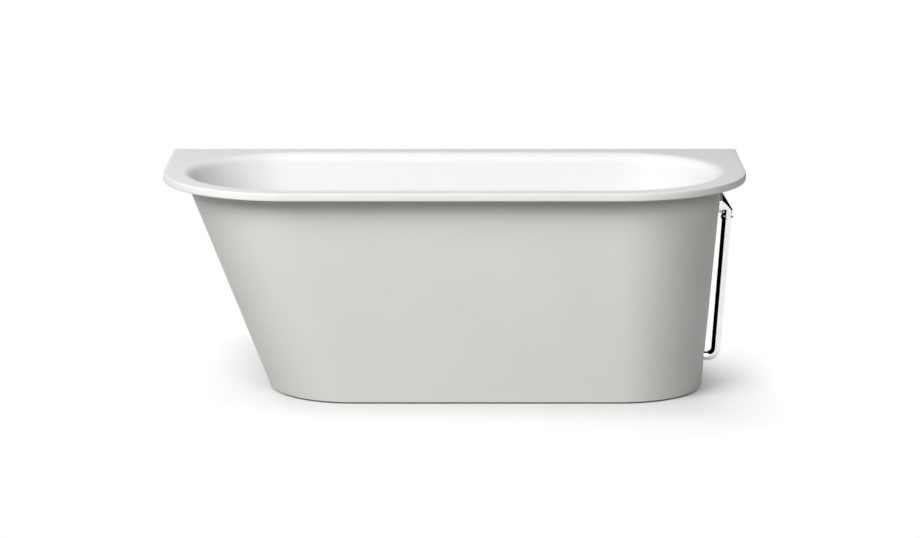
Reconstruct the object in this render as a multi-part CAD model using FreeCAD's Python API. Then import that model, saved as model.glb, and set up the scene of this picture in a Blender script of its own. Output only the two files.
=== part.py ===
import FreeCAD, Part

import math
import os

# Back-to-wall bath with its own skirt and an exposed overflow pipe, in millimetres.
# +Z is up, +X runs from the sloping head end to the foot end with the waste, +Y points at the wall.
# The origin is on the floor, under the middle of the rim.

Vector = FreeCAD.Vector
ORIGIN = Vector(0, 0, 0)
X_AXIS = Vector(1, 0, 0)
Y_AXIS = Vector(0, 1, 0)
Z_AXIS = Vector(0, 0, 1)

# Overall sizes
BATH_LENGTH = 1700.0
BATH_DEPTH = 750.0
RIM_HEIGHT = 625.0

# Rim
RIM_THICKNESS = 22.0
RIM_BAND = 50.0
RIM_HEAD_BAND = 55.0
RIM_FOOT_BAND = 58.0
RIM_EDGE_RADIUS = 3.0
RIM_BACK_CORNER_RADIUS = 4.0
LIP_RADIUS = 34.0

# Tub
TUB_WALL = 8.0
TUB_FLOOR_HEIGHT = 165.0
TUB_FLOOR_RADIUS = 80.0
BACKREST_ANGLE = 31.0
SIDE_WALL_ANGLE = 10.0
FOOT_WALL_ANGLE = 5.0

# Skirt: clearances are between its inner face and the tub, just under the rim
SKIRT_WALL = 6.0
SKIRT_HEAD_CLEARANCE = 1.0
SKIRT_FOOT_CLEARANCE = 4.0
SKIRT_FRONT_CLEARANCE = 13.0
SKIRT_HEAD_ANGLE = 21.7
SKIRT_FRONT_ANGLE = 1.0
SKIRT_TOP_CORNER_INSET = 34.7
SKIRT_BASE_CORNER_INSET = 59.3
SKIRT_BACK_SETBACK = 5.0
SKIRT_RETURN = 25.0
SHADOW_GAP = 4.0

# Base board under the tub's floor
BOARD_THICKNESS = 15.0
BOARD_MARGIN = 8.0
BOARD_WASTE_GAP = 70.0
BOARD_CORNER_RADIUS = 12.0

# Cross rails, pressed channels that open downwards
RAIL_WIDTH = 40.0
RAIL_HEIGHT = 25.0
RAIL_GAUGE = 2.0
RAIL_BEND_RADIUS = 3.0
RAIL_SKIRT_GAP = 58.5

# Centre leg plate
LEG_PLATE_LENGTH = 110.0
LEG_PLATE_WIDTH = 70.0
LEG_PLATE_GAUGE = 3.0
LEG_PLATE_CORNER_RADIUS = 8.0
LEG_PLATE_SCREW_OFFSET = 38.0

# Levelling feet
FOOT_FROM_RAIL_END = 42.0
FOOT_PAD_RADIUS = 25.0
FOOT_PAD_EDGE = 6.0
FOOT_PAD_HEIGHT = 16.0
FOOT_HUB_RADIUS = 11.0
FOOT_SOCKET_FLOOR = 5.0
STUD_RADIUS = 5.0
STUD_PROTRUSION = 14.0
STUD_HEX_FLATS = 14.0
STUD_HEX_HEIGHT = 6.0
STUD_END_CHAMFER = 1.0
NUT_FLATS = 17.0
NUT_HEIGHT = 8.0
NUT_CHAMFER = 1.0

# Screws into board and rim
SCREW_SHANK_RADIUS = 2.4
SCREW_LENGTH = 12.0
SCREW_HEAD_RADIUS = 5.0
SCREW_HEAD_HEIGHT = 3.0
SCREW_HEAD_ROUND = 1.5
RAIL_SCREW_SHARES = (-0.785, -0.285, 0.285, 0.785)

# Skirt stays, from the front end of each rail to the skirt
STAY_WIDTH = 30.0
STAY_GAUGE = 3.0
STAY_LAP = 26.0
STAY_LEG = 45.0
STAY_CORNER_GAP = 4.5
STAY_BOLT_RADIUS = 3.0
STAY_BOLT_FLATS = 10.0
STAY_BOLT_HEAD = 4.0
STAY_NUT_HEIGHT = 5.0

# Wall brackets under the back of the rim
BRACKET_FROM_END = 290.0
BRACKET_LENGTH = 90.0
BRACKET_LEDGE = 40.0
BRACKET_DROP = 52.0
BRACKET_GAUGE = 3.0
BRACKET_BEND_RADIUS = 3.0
BRACKET_HOLE_RADIUS = 3.5
BRACKET_HOLE_SPACING = 56.0
BRACKET_HOLE_DROP = 34.0
BRACKET_SCREW_SPACING = 60.0
BRACKET_SCREW_SETBACK = 22.0

# Overflow elbow on the foot end of the skirt
OVERFLOW_BELOW_RIM = 95.0
OVERFLOW_STANDOFF = 30.0
OVERFLOW_DROP = 18.0
ELBOW_FLANGE_RADIUS = 32.0
ELBOW_FLANGE_THICKNESS = 8.0
ELBOW_SOCKET_WALL = 2.0
ELBOW_SOCKET_LENGTH = 16.0
ELBOW_SEAT = 2.0
SPIGOT_RADIUS = 16.0
SPIGOT_WALL = 3.0
BRIDGE_WIDTH = 6.0
BRIDGE_LENGTH = 9.0
BRIDGE_BOSS_RADIUS = 5.0
GASKET_THICKNESS = 1.5
SPACER_RADIUS = 28.0

# Overflow grid inside the tub
GRID_RADIUS = 30.0
GRID_THICKNESS = 4.0
GRID_EDGE_RADIUS = 2.0
GRID_SEAL_THICKNESS = 2.0
GRID_SEAL_WIDTH = 6.0
GRID_HOLE_RADIUS = 2.6
GRID_HOLE_COUNT = 8
GRID_HOLE_CIRCLE = 9.2
GRID_SCREW_RADIUS = 2.0
GRID_SCREW_HEAD_RADIUS = 4.5
GRID_SCREW_HEAD_HEIGHT = 2.5

# Overflow pipe and its fittings
PIPE_RADIUS = 14.0
PIPE_WALL = 1.5
PIPE_LEAN = 3.8
PIPE_BEND_RADIUS = 25.0
PIPE_INSERTION = 20.0
COLLAR_LENGTH = 12.0
COLLAR_BULGE = 4.0
COLLAR_EDGE = 1.6
OLIVE_LENGTH = 5.0
OLIVE_WIDTH = 1.6
GROMMET_WALL = 2.4
GROMMET_LIP = 2.0
GROMMET_LIP_THICKNESS = 1.2

# Waste in the tub's floor
WASTE_FROM_FOOT = 260.0
WASTE_RECESS_DEPTH = 3.0
WASTE_FLANGE_RADIUS = 35.0
WASTE_FLANGE_THICKNESS = 3.5
WASTE_FLANGE_EDGE = 1.2
WASTE_SEAT_RADIUS = 31.5
WASTE_SEAT_DEPTH = 1.5
WASTE_TAIL_RADIUS = 22.5
WASTE_TAIL_WALL = 3.0
WASTE_TAIL_DROP = 53.0
WASTE_TOP_SEAL = 1.0
WASTE_UNDER_SEAL = 4.0
WASTE_UNDER_SEAL_RADIUS = 33.0
WASTE_BACKNUT_HEIGHT = 8.0
WASTE_BACKNUT_FLATS = 60.0
SPIDER_HEIGHT = 9.0
SPIDER_ARM_WIDTH = 4.0
SPIDER_ARM_COUNT = 3
SPIDER_HUB_RADIUS = 9.0
SPIDER_DROP = 13.0

# Push plug
PLUG_RADIUS = 30.0
PLUG_EDGE_HEIGHT = 3.0
PLUG_CROWN = 3.5
PLUG_TRAVEL = 8.0
PLUG_SEAT_GAP = 0.4
PLUG_SEAL_RADIUS = 28.5
PLUG_SEAL_WIDTH = 3.5
PLUG_SEAL_HEIGHT = 2.5
PLUG_BOSS_RADIUS = 8.0
PLUG_BOSS_HEIGHT = 4.5
STEM_RADIUS = 4.2
STEM_THREAD_LENGTH = 5.0
STEM_LENGTH = 22.0
GUIDE_WALL = 1.8
GUIDE_COLLAR_RADIUS = 8.5
GUIDE_COLLAR_HEIGHT = 3.0
GUIDE_TOP = 5.0
GUIDE_FLOOR = 3.0
SPRING_WIRE_RADIUS = 0.45
SPRING_TURNS = 8
SPRING_LENGTH = 22.0

# Trap under the waste
TRAP_WALL = 3.0
TRAP_INLET_RADIUS = 24.0
TRAP_INLET_FLANGE = 2.0
TRAP_INLET_FLANGE_THICKNESS = 5.0
TRAP_INLET_SEAL = 3.0
UNION_NUT_WALL = 4.5
UNION_NUT_LIP = 4.0
UNION_NUT_GRIP = 14.0
TRAP_PORT_DROP = 31.0
TRAP_PORT_WALL = 4.4
TRAP_PORT_REACH = 50.0
TAIL_NUT_WALL = 4.0
TAIL_NUT_LENGTH = 18.0
TAIL_NUT_LIP = 3.0
TAIL_SEAL_LENGTH = 4.0
CHAMBER_DROP = 30.0
CHAMBER_HEIGHT = 32.0
CHAMBER_HALF_WIDTH = 30.0
CHAMBER_SPAN = 90.0
CHAMBER_EDGE_RADIUS = 5.0
BAFFLE_GAP = 9.0
SWIVEL_COLLAR_HEIGHT = 10.0
SWIVEL_COLLAR_WALL = 4.0
SWIVEL_SPIGOT_LENGTH = 7.0
SWIVEL_SEAL_RADIUS = 1.0
SWIVEL_SEAL_DROP = 3.5
OUTLET_RADIUS = 23.0
OUTLET_WALL = 3.0
OUTLET_REACH = 72.0
OUTLET_SOCKET_RADIUS = 20.25
OUTLET_SOCKET_DEPTH = 30.0
OUTLET_SEAL_LENGTH = 4.0
OUTLET_NUT_WALL = 5.0
OUTLET_NUT_LENGTH = 20.0
OUTLET_NUT_LIP = 4.0
FLUTE_COUNT = 12
FLUTE_RADIUS = 2.0

# Fits
FIT_CLEARANCE = 0.1
HOLE_CLEARANCE = 0.5
MOVING_CLEARANCE = 0.3
OVERRUN = 20.0
LEVEL_TOLERANCE = 1e-6


def sine(angle):
    """Sine of an angle in degrees."""
    return math.sin(math.radians(angle))


def cosine(angle):
    """Cosine of an angle in degrees."""
    return math.cos(math.radians(angle))


def tangent(angle):
    """Tangent of an angle in degrees."""
    return math.tan(math.radians(angle))


def lip_run(wall_angle):
    """Level distance from a wall's line at the top of the rim to the edge of its rounded lip."""
    return LIP_RADIUS * tangent((90 - wall_angle) / 2)


# Levels, from the rim down
RIM_UNDERSIDE = RIM_HEIGHT - RIM_THICKNESS
TUB_UNDERSIDE = TUB_FLOOR_HEIGHT - TUB_WALL
BOARD_UNDERSIDE = TUB_UNDERSIDE - BOARD_THICKNESS
RAIL_WEB_UNDERSIDE = BOARD_UNDERSIDE - RAIL_GAUGE
SKIRT_BACK = BATH_DEPTH / 2 - SKIRT_BACK_SETBACK
OVERFLOW_HEIGHT = RIM_HEIGHT - OVERFLOW_BELOW_RIM

# Waste and trap levels hang from the tub's floor
WASTE_X = BATH_LENGTH / 2 - WASTE_FROM_FOOT
WASTE_RECESS_LEVEL = TUB_FLOOR_HEIGHT - WASTE_RECESS_DEPTH
WASTE_FLANGE_LEVEL = WASTE_RECESS_LEVEL + WASTE_TOP_SEAL
WASTE_SEAT_LEVEL = WASTE_FLANGE_LEVEL + WASTE_FLANGE_THICKNESS - WASTE_SEAT_DEPTH
WASTE_TAIL_END = TUB_UNDERSIDE - WASTE_TAIL_DROP
WASTE_TAIL_BORE = WASTE_TAIL_RADIUS - WASTE_TAIL_WALL
SPIDER_TOP = WASTE_FLANGE_LEVEL - SPIDER_DROP
TRAP_INLET_LEVEL = WASTE_TAIL_END - TRAP_INLET_SEAL
TRAP_PORT_LEVEL = TRAP_INLET_LEVEL - TRAP_PORT_DROP
CHAMBER_TOP = TRAP_PORT_LEVEL - CHAMBER_DROP
CHAMBER_BASE = CHAMBER_TOP - CHAMBER_HEIGHT
SWIVEL_X = WASTE_X - CHAMBER_SPAN
SWIVEL_LEVEL = CHAMBER_TOP + SWIVEL_COLLAR_HEIGHT + MOVING_CLEARANCE
OUTLET_LEVEL = SWIVEL_LEVEL + OUTLET_RADIUS

# Push plug levels, in its raised position
PLUG_SEAL_LEVEL = WASTE_SEAT_LEVEL + PLUG_SEAT_GAP + PLUG_TRAVEL
PLUG_LEVEL = PLUG_SEAL_LEVEL + PLUG_SEAL_HEIGHT
STEM_TOP = PLUG_LEVEL + STEM_THREAD_LENGTH - PLUG_BOSS_HEIGHT
STEM_END = STEM_TOP - STEM_LENGTH
SPRING_BASE = STEM_END - SPRING_LENGTH

# Overflow frame: outward and upward along the foot end of the skirt
OUTWARD = Vector(cosine(FOOT_WALL_ANGLE), 0, -sine(FOOT_WALL_ANGLE))
UPWARD = Vector(sine(FOOT_WALL_ANGLE), 0, cosine(FOOT_WALL_ANGLE))
PIPE_DOWN = Vector(-sine(PIPE_LEAN), 0, -cosine(PIPE_LEAN))
PIPE_OUT = Vector(cosine(PIPE_LEAN), 0, -sine(PIPE_LEAN))


def tub_head_x(level, outset):
    """Head wall of the tub at a level, its inner face moved out by outset."""
    top = -BATH_LENGTH / 2 + RIM_HEAD_BAND + lip_run(BACKREST_ANGLE)
    return top + (RIM_HEIGHT - level) * tangent(BACKREST_ANGLE) - outset / cosine(BACKREST_ANGLE)


def tub_foot_x(level, outset):
    """Foot wall of the tub at a level, its inner face moved out by outset."""
    top = BATH_LENGTH / 2 - RIM_FOOT_BAND - lip_run(FOOT_WALL_ANGLE)
    return top - (RIM_HEIGHT - level) * tangent(FOOT_WALL_ANGLE) + outset / cosine(FOOT_WALL_ANGLE)


def tub_half_width(level, outset):
    """Half the tub's width at a level, its inner face moved out by outset."""
    top = BATH_DEPTH / 2 - RIM_BAND - lip_run(SIDE_WALL_ANGLE)
    return top - (RIM_HEIGHT - level) * tangent(SIDE_WALL_ANGLE) + outset / cosine(SIDE_WALL_ANGLE)


def skirt_head_x(level, outset):
    """Head end of the skirt at a level, its inner face moved out by outset."""
    top = tub_head_x(RIM_UNDERSIDE, TUB_WALL) - SKIRT_HEAD_CLEARANCE
    return top + (RIM_UNDERSIDE - level) * tangent(SKIRT_HEAD_ANGLE) - outset / cosine(SKIRT_HEAD_ANGLE)


def skirt_foot_x(level, outset):
    """Foot end of the skirt at a level, parallel to the tub's foot wall."""
    top = tub_foot_x(RIM_UNDERSIDE, TUB_WALL) + SKIRT_FOOT_CLEARANCE
    return top - (RIM_UNDERSIDE - level) * tangent(FOOT_WALL_ANGLE) + outset / cosine(FOOT_WALL_ANGLE)


def skirt_front_y(level, outset):
    """Front of the skirt at a level, its inner face moved out by outset."""
    top = -tub_half_width(RIM_UNDERSIDE, TUB_WALL) - SKIRT_FRONT_CLEARANCE
    return top + (RIM_UNDERSIDE - level) * tangent(SKIRT_FRONT_ANGLE) - outset / cosine(SKIRT_FRONT_ANGLE)


def skirt_corner_radius(level, outset):
    """Front corner radius of the skirt at a level, from the front to its inset before the bath's middle."""
    rise_share = (level - SHADOW_GAP) / (RIM_UNDERSIDE - SHADOW_GAP)
    inset = SKIRT_BASE_CORNER_INSET + rise_share * (SKIRT_TOP_CORNER_INSET - SKIRT_BASE_CORNER_INSET)
    return -skirt_front_y(level, SKIRT_WALL) - inset - SKIRT_WALL + outset


# Rails, feet and stays keep their places beside the inner face of the skirt
RAIL_HALF_LENGTH = -skirt_front_y(BOARD_UNDERSIDE, 0) - RAIL_SKIRT_GAP
FOOT_SPREAD = RAIL_HALF_LENGTH - FOOT_FROM_RAIL_END
HEAD_CORNER_END = skirt_head_x(BOARD_UNDERSIDE, 0) + skirt_corner_radius(BOARD_UNDERSIDE, 0)
RAIL_FROM_CENTRE = -HEAD_CORNER_END - STAY_CORNER_GAP - STAY_WIDTH / 2


def rounded_outline(points, radii):
    """Closed wire through corner points, each corner rounded by its radius."""
    ends = []
    for index, point in enumerate(points):
        back = (points[index - 1] - point).normalize()
        ahead = (points[(index + 1) % len(points)] - point).normalize()
        half_angle = back.getAngle(ahead) / 2
        run = radii[index] / math.tan(half_angle)
        inward = (back + ahead).normalize()
        middle = point + inward * (radii[index] / math.sin(half_angle) - radii[index])
        ends.append((point + back * run, middle, point + ahead * run))
    edges = []
    for index, (start, middle, end) in enumerate(ends):
        if radii[index] > 0:
            edges.append(Part.Arc(start, middle, end).toShape())
        following = ends[(index + 1) % len(ends)][0]
        edges.append(Part.LineSegment(end, following).toShape())
    return Part.Wire(edges)


def stadium(head_x, foot_x, half_width, level):
    """Level wire with straight sides and half-round ends."""
    head = head_x + half_width
    foot = foot_x - half_width
    front_head = Vector(head, -half_width, level)
    front_foot = Vector(foot, -half_width, level)
    back_foot = Vector(foot, half_width, level)
    back_head = Vector(head, half_width, level)
    return Part.Wire([
        Part.LineSegment(front_head, front_foot).toShape(),
        Part.Arc(front_foot, Vector(foot_x, 0, level), back_foot).toShape(),
        Part.LineSegment(back_foot, back_head).toShape(),
        Part.Arc(back_head, Vector(head_x, 0, level), front_head).toShape(),
    ])


def level_rectangle(low_x, high_x, low_y, high_y, level):
    """Corner points of a level rectangle, from the low corner round by +X."""
    return [
        Vector(low_x, low_y, level),
        Vector(high_x, low_y, level),
        Vector(high_x, high_y, level),
        Vector(low_x, high_y, level),
    ]


def prism(wire, along):
    """Solid that a flat wire sweeps along a vector."""
    return Part.Face(wire).extrude(along)


def ruled_solid(first, second):
    """Solid with straight sides between two wires."""
    return Part.makeLoft([first, second], True, True)


def rod(radius, start, end):
    """Round bar between two points."""
    return Part.makeCylinder(radius, (end - start).Length, start, end - start)


def sleeve(outer_radius, inner_radius, start, end):
    """Round tube between two points."""
    return rod(outer_radius, start, end).cut(rod(inner_radius, start, end))


def upright(x, y, level):
    """Point given by plan position and level."""
    return Vector(x, y, level)


def turned(profile, base):
    """Solid turned about the upright axis through base from (radius, level) points and arc middles.

    Each entry is (radius, level), or (radius, level, middle radius, middle level) where the edge that
    ends there is an arc through that middle.
    """
    edges = []
    place = [base + Vector(entry[0], 0, entry[1]) for entry in profile]
    for index, entry in enumerate(profile):
        start, end = place[index - 1], place[index]
        if len(entry) > 2:
            edges.append(Part.Arc(start, base + Vector(entry[2], 0, entry[3]), end).toShape())
        else:
            edges.append(Part.LineSegment(start, end).toShape())
    return Part.Face(Part.Wire(edges)).revolve(base, Z_AXIS, 360)


def hexagon(flats, base, height, chamfer):
    """Upright hexagonal prism with its corners turned off at both ends."""
    reach = flats / 2 / cosine(30)
    corners = [base + Vector(reach * cosine(60 * k), reach * sine(60 * k), 0) for k in range(6)]
    blank = prism(rounded_outline(corners, [0] * len(corners)), Z_AXIS * height)
    round_off = turned([
        (0, 0),
        (flats / 2, 0),
        (reach + chamfer, chamfer),
        (reach + chamfer, height - chamfer),
        (flats / 2, height),
        (0, height),
    ], base)
    return blank.common(round_off)


def aimed(shape, base, direction):
    """Shape that was made upright at the origin, turned to a direction and moved to base."""
    placed = shape.copy()
    placed.Placement = FreeCAD.Placement(base, FreeCAD.Rotation(Z_AXIS, direction))
    return placed


def pan_screw(head_radius, head_height, shank_radius, shank_length):
    """Upright screw with a rounded head below the origin and its shank above."""
    round_off = min(SCREW_HEAD_ROUND, head_height)
    bend = round_off * (1 - math.sqrt(0.5))
    return turned([
        (0, -head_height),
        (head_radius - round_off, -head_height),
        (head_radius, round_off - head_height, head_radius - bend, bend - head_height),
        (head_radius, 0),
        (shank_radius, 0),
        (shank_radius, shank_length - shank_radius),
        (0, shank_length),
    ], ORIGIN)


def fluted_ring(outer_radius, inner_radius, length):
    """Upright plastic nut at the origin, with a ring of grip flutes round its outside."""
    ring = sleeve(outer_radius, inner_radius, ORIGIN, Z_AXIS * length)
    for index in range(FLUTE_COUNT):
        turn = 360 * index / FLUTE_COUNT
        foot = Vector(outer_radius * cosine(turn), outer_radius * sine(turn), 0)
        ring = ring.cut(rod(FLUTE_RADIUS, foot, foot + Z_AXIS * length))
    return ring


def level_edges(shape, level):
    """Edges of a shape that lie flat at a level."""
    flat = []
    for edge in shape.Edges:
        box = edge.BoundBox
        if max(abs(box.ZMin - level), abs(box.ZMax - level)) < LEVEL_TOLERANCE:
            flat.append(edge)
    return flat


def tub_section(level, outset):
    """Plan of the tub at a level, its inner face moved out by outset."""
    return stadium(
        tub_head_x(level, outset), tub_foot_x(level, outset), tub_half_width(level, outset), level
    )


def tub_form(floor_level, top_level, outset, floor_radius):
    """Solid inside the tub's face, moved out by outset, with a rounded foot to its walls."""
    walls = ruled_solid(tub_section(floor_level, outset), tub_section(top_level, outset))
    return walls.makeFillet(floor_radius, level_edges(walls, floor_level))


def rim_plate():
    """Flat deck with round front corners and square back ones."""
    corners = level_rectangle(
        -BATH_LENGTH / 2, BATH_LENGTH / 2, -BATH_DEPTH / 2, BATH_DEPTH / 2, RIM_UNDERSIDE
    )
    radii = [BATH_DEPTH / 2, BATH_DEPTH / 2, RIM_BACK_CORNER_RADIUS, RIM_BACK_CORNER_RADIUS]
    plate = prism(rounded_outline(corners, radii), Z_AXIS * RIM_THICKNESS)
    edges = level_edges(plate, RIM_UNDERSIDE) + level_edges(plate, RIM_HEIGHT)
    return plate.makeFillet(RIM_EDGE_RADIUS, edges)


def mouth_edges(shape):
    """Edges of the tub's mouth at the top of the rim."""
    inner = []
    for edge in level_edges(shape, RIM_HEIGHT):
        centre = edge.CenterOfMass
        in_length = abs(centre.x) < BATH_LENGTH / 2 - RIM_BAND / 2
        in_depth = abs(centre.y) < BATH_DEPTH / 2 - RIM_BAND / 2
        if in_length and in_depth:
            inner.append(edge)
    return inner


def bath_shell():
    """White tub and rim in one moulding, with its waste and overflow holes."""
    outside = tub_form(TUB_UNDERSIDE, RIM_UNDERSIDE + RIM_EDGE_RADIUS, TUB_WALL, TUB_FLOOR_RADIUS + TUB_WALL)
    inside = tub_form(TUB_FLOOR_HEIGHT, RIM_HEIGHT, 0, TUB_FLOOR_RADIUS)
    shell = rim_plate().fuse(outside).cut(inside)
    shell = shell.makeFillet(LIP_RADIUS, mouth_edges(shell))
    recess_radius = WASTE_FLANGE_RADIUS + HOLE_CLEARANCE
    recess = rod(recess_radius, waste_point(WASTE_RECESS_LEVEL), waste_point(TUB_FLOOR_HEIGHT + OVERRUN))
    hole = rod(
        WASTE_TAIL_RADIUS + HOLE_CLEARANCE,
        waste_point(TUB_UNDERSIDE - OVERRUN),
        waste_point(TUB_FLOOR_HEIGHT),
    )
    flat = rod(
        GRID_RADIUS + HOLE_CLEARANCE, overflow_point(-TUB_INNER_DEPTH, 0),
        overflow_point(-TUB_INNER_DEPTH - OVERRUN, 0),
    )
    shell = shell.cut(recess).cut(hole).cut(flat).cut(spigot_hole())
    for screw_at in bracket_screw_places():
        top = screw_at + Z_AXIS * SCREW_LENGTH
        shell = shell.cut(rod(SCREW_SHANK_RADIUS + FIT_CLEARANCE, screw_at, top))
    return shell


def skirt_outline(level, outset, back_y):
    """Plan of the skirt at a level, its inner face moved out by outset."""
    corners = level_rectangle(
        skirt_head_x(level, outset), skirt_foot_x(level, outset), skirt_front_y(level, outset), back_y, level
    )
    radius = skirt_corner_radius(level, outset)
    return rounded_outline(corners, [radius, radius, 0, 0])


def skirt_form(low, high, outset, back_y):
    """Solid inside the skirt's face, moved out by outset."""
    return ruled_solid(skirt_outline(low, outset, back_y), skirt_outline(high, outset, back_y))


def outer_skirt():
    """Coloured skirt, open at the wall side, with stiffening returns along its back edges."""
    low = SHADOW_GAP - OVERRUN
    high = RIM_UNDERSIDE + OVERRUN
    skirt = skirt_form(SHADOW_GAP, RIM_UNDERSIDE, SKIRT_WALL, SKIRT_BACK)
    skirt = skirt.cut(skirt_form(low, high, 0, SKIRT_BACK - SKIRT_WALL))
    skirt = skirt.cut(skirt_form(low, high, -SKIRT_RETURN, SKIRT_BACK + OVERRUN))
    pipe_hole = rod(
        PIPE_RADIUS + GROMMET_WALL + FIT_CLEARANCE,
        Vector(skirt_foot_x(TRAP_PORT_LEVEL, 0) - OVERRUN, 0, TRAP_PORT_LEVEL),
        Vector(skirt_foot_x(TRAP_PORT_LEVEL, 0) + OVERRUN, 0, TRAP_PORT_LEVEL),
    )
    return skirt.cut(spigot_hole()).cut(pipe_hole)


def board_half_width():
    """Half the base board's width, inside the rounded foot of the tub's walls."""
    radius = TUB_FLOOR_RADIUS + TUB_WALL
    flat = tub_half_width(TUB_UNDERSIDE, TUB_WALL) - radius * tangent((90 - SIDE_WALL_ANGLE) / 2)
    return flat - BOARD_MARGIN


def rail_screw_spreads():
    """Positions across the bath of the screws through each rail."""
    return [share * board_half_width() for share in RAIL_SCREW_SHARES]


def board_hole_places():
    """Plan positions of the screws into the base board."""
    places = []
    for rail_x in (-RAIL_FROM_CENTRE, RAIL_FROM_CENTRE):
        for spread in rail_screw_spreads():
            places.append((rail_x, spread))
    for offset in (-LEG_PLATE_SCREW_OFFSET, LEG_PLATE_SCREW_OFFSET):
        places.append((offset, 0))
    return places


def base_board():
    """Stiffening board bonded under the tub's floor, clear of the waste."""
    radius = TUB_FLOOR_RADIUS + TUB_WALL
    flat_head_x = tub_head_x(TUB_UNDERSIDE, TUB_WALL) + radius * tangent((90 - BACKREST_ANGLE) / 2)
    half_width = board_half_width()
    corners = level_rectangle(
        flat_head_x + BOARD_MARGIN, WASTE_X - BOARD_WASTE_GAP, -half_width, half_width, BOARD_UNDERSIDE
    )
    head_radius = half_width - BOARD_MARGIN
    radii = [head_radius, BOARD_CORNER_RADIUS, BOARD_CORNER_RADIUS, head_radius]
    board = prism(rounded_outline(corners, radii), Z_AXIS * BOARD_THICKNESS)
    for x, y in board_hole_places():
        foot = upright(x, y, BOARD_UNDERSIDE)
        board = board.cut(rod(SCREW_SHANK_RADIUS + FIT_CLEARANCE, foot, foot + Z_AXIS * SCREW_LENGTH))
    foot = upright(0, 0, BOARD_UNDERSIDE)
    return board.cut(rod(STUD_RADIUS + HOLE_CLEARANCE, foot, foot + Z_AXIS * BOARD_THICKNESS))


def cross_rail(rail_x):
    """Pressed channel across the bath, with a stud hole near each end."""
    low = BOARD_UNDERSIDE - RAIL_HEIGHT
    outside = prism(
        rounded_outline(
            [
                Vector(rail_x - RAIL_WIDTH / 2, -RAIL_HALF_LENGTH, low),
                Vector(rail_x + RAIL_WIDTH / 2, -RAIL_HALF_LENGTH, low),
                Vector(rail_x + RAIL_WIDTH / 2, -RAIL_HALF_LENGTH, BOARD_UNDERSIDE),
                Vector(rail_x - RAIL_WIDTH / 2, -RAIL_HALF_LENGTH, BOARD_UNDERSIDE),
            ],
            [0, 0, RAIL_BEND_RADIUS, RAIL_BEND_RADIUS],
        ),
        Y_AXIS * 2 * RAIL_HALF_LENGTH,
    )
    half_inside = RAIL_WIDTH / 2 - RAIL_GAUGE
    inside_radius = RAIL_BEND_RADIUS - RAIL_GAUGE
    inside = prism(
        rounded_outline(
            [
                Vector(rail_x - half_inside, -RAIL_HALF_LENGTH, low - OVERRUN),
                Vector(rail_x + half_inside, -RAIL_HALF_LENGTH, low - OVERRUN),
                Vector(rail_x + half_inside, -RAIL_HALF_LENGTH, RAIL_WEB_UNDERSIDE),
                Vector(rail_x - half_inside, -RAIL_HALF_LENGTH, RAIL_WEB_UNDERSIDE),
            ],
            [0, 0, inside_radius, inside_radius],
        ),
        Y_AXIS * 2 * RAIL_HALF_LENGTH,
    )
    rail = outside.cut(inside)
    holes = [(spread, SCREW_SHANK_RADIUS) for spread in rail_screw_spreads()]
    holes += [(-FOOT_SPREAD, STUD_RADIUS), (FOOT_SPREAD, STUD_RADIUS), (stay_bolt_y(), STAY_BOLT_RADIUS)]
    for y, radius in holes:
        foot = upright(rail_x, y, RAIL_WEB_UNDERSIDE - OVERRUN)
        rail = rail.cut(rod(radius + HOLE_CLEARANCE, foot, foot + Z_AXIS * 2 * OVERRUN))
    return rail


def centre_leg_plate():
    """Flat plate under the base board that carries the middle foot."""
    corners = level_rectangle(
        -LEG_PLATE_LENGTH / 2,
        LEG_PLATE_LENGTH / 2,
        -LEG_PLATE_WIDTH / 2,
        LEG_PLATE_WIDTH / 2,
        BOARD_UNDERSIDE - LEG_PLATE_GAUGE,
    )
    radii = [LEG_PLATE_CORNER_RADIUS] * len(corners)
    plate = prism(rounded_outline(corners, radii), Z_AXIS * LEG_PLATE_GAUGE)
    holes = [(0, STUD_RADIUS)]
    holes += [(offset, SCREW_SHANK_RADIUS) for offset in (-LEG_PLATE_SCREW_OFFSET, LEG_PLATE_SCREW_OFFSET)]
    for x, radius in holes:
        foot = upright(x, 0, BOARD_UNDERSIDE - OVERRUN)
        plate = plate.cut(rod(radius + HOLE_CLEARANCE, foot, upright(x, 0, BOARD_UNDERSIDE)))
    return plate


def board_screws():
    """Screws that hold the rails and the leg plate to the base board."""
    screws = []
    for x, y in board_hole_places():
        gauge = LEG_PLATE_GAUGE if y == 0 else RAIL_GAUGE
        screw = pan_screw(SCREW_HEAD_RADIUS, SCREW_HEAD_HEIGHT, SCREW_SHANK_RADIUS, SCREW_LENGTH)
        screws.append(aimed(screw, upright(x, y, BOARD_UNDERSIDE - gauge), Z_AXIS))
    return Part.Compound(screws)


def foot_places():
    """Name, plan position and underside of the carrying steel of each levelling foot."""
    places = []
    for end, rail_x in (("head", -RAIL_FROM_CENTRE), ("foot", RAIL_FROM_CENTRE)):
        for side, y in (("front", -FOOT_SPREAD), ("back", FOOT_SPREAD)):
            places.append((end + "_" + side, rail_x, y, RAIL_WEB_UNDERSIDE))
    places.append(("centre", 0.0, 0.0, BOARD_UNDERSIDE - LEG_PLATE_GAUGE))
    return places


def foot_pad(x, y):
    """Round plastic foot with a socket for its stud."""
    return turned([
        (0, 0),
        (FOOT_PAD_RADIUS, 0),
        (FOOT_PAD_RADIUS, FOOT_PAD_EDGE),
        (FOOT_HUB_RADIUS, FOOT_PAD_HEIGHT),
        (STUD_RADIUS + FIT_CLEARANCE, FOOT_PAD_HEIGHT),
        (STUD_RADIUS + FIT_CLEARANCE, FOOT_SOCKET_FLOOR),
        (0, FOOT_SOCKET_FLOOR),
    ], upright(x, y, 0))


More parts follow.
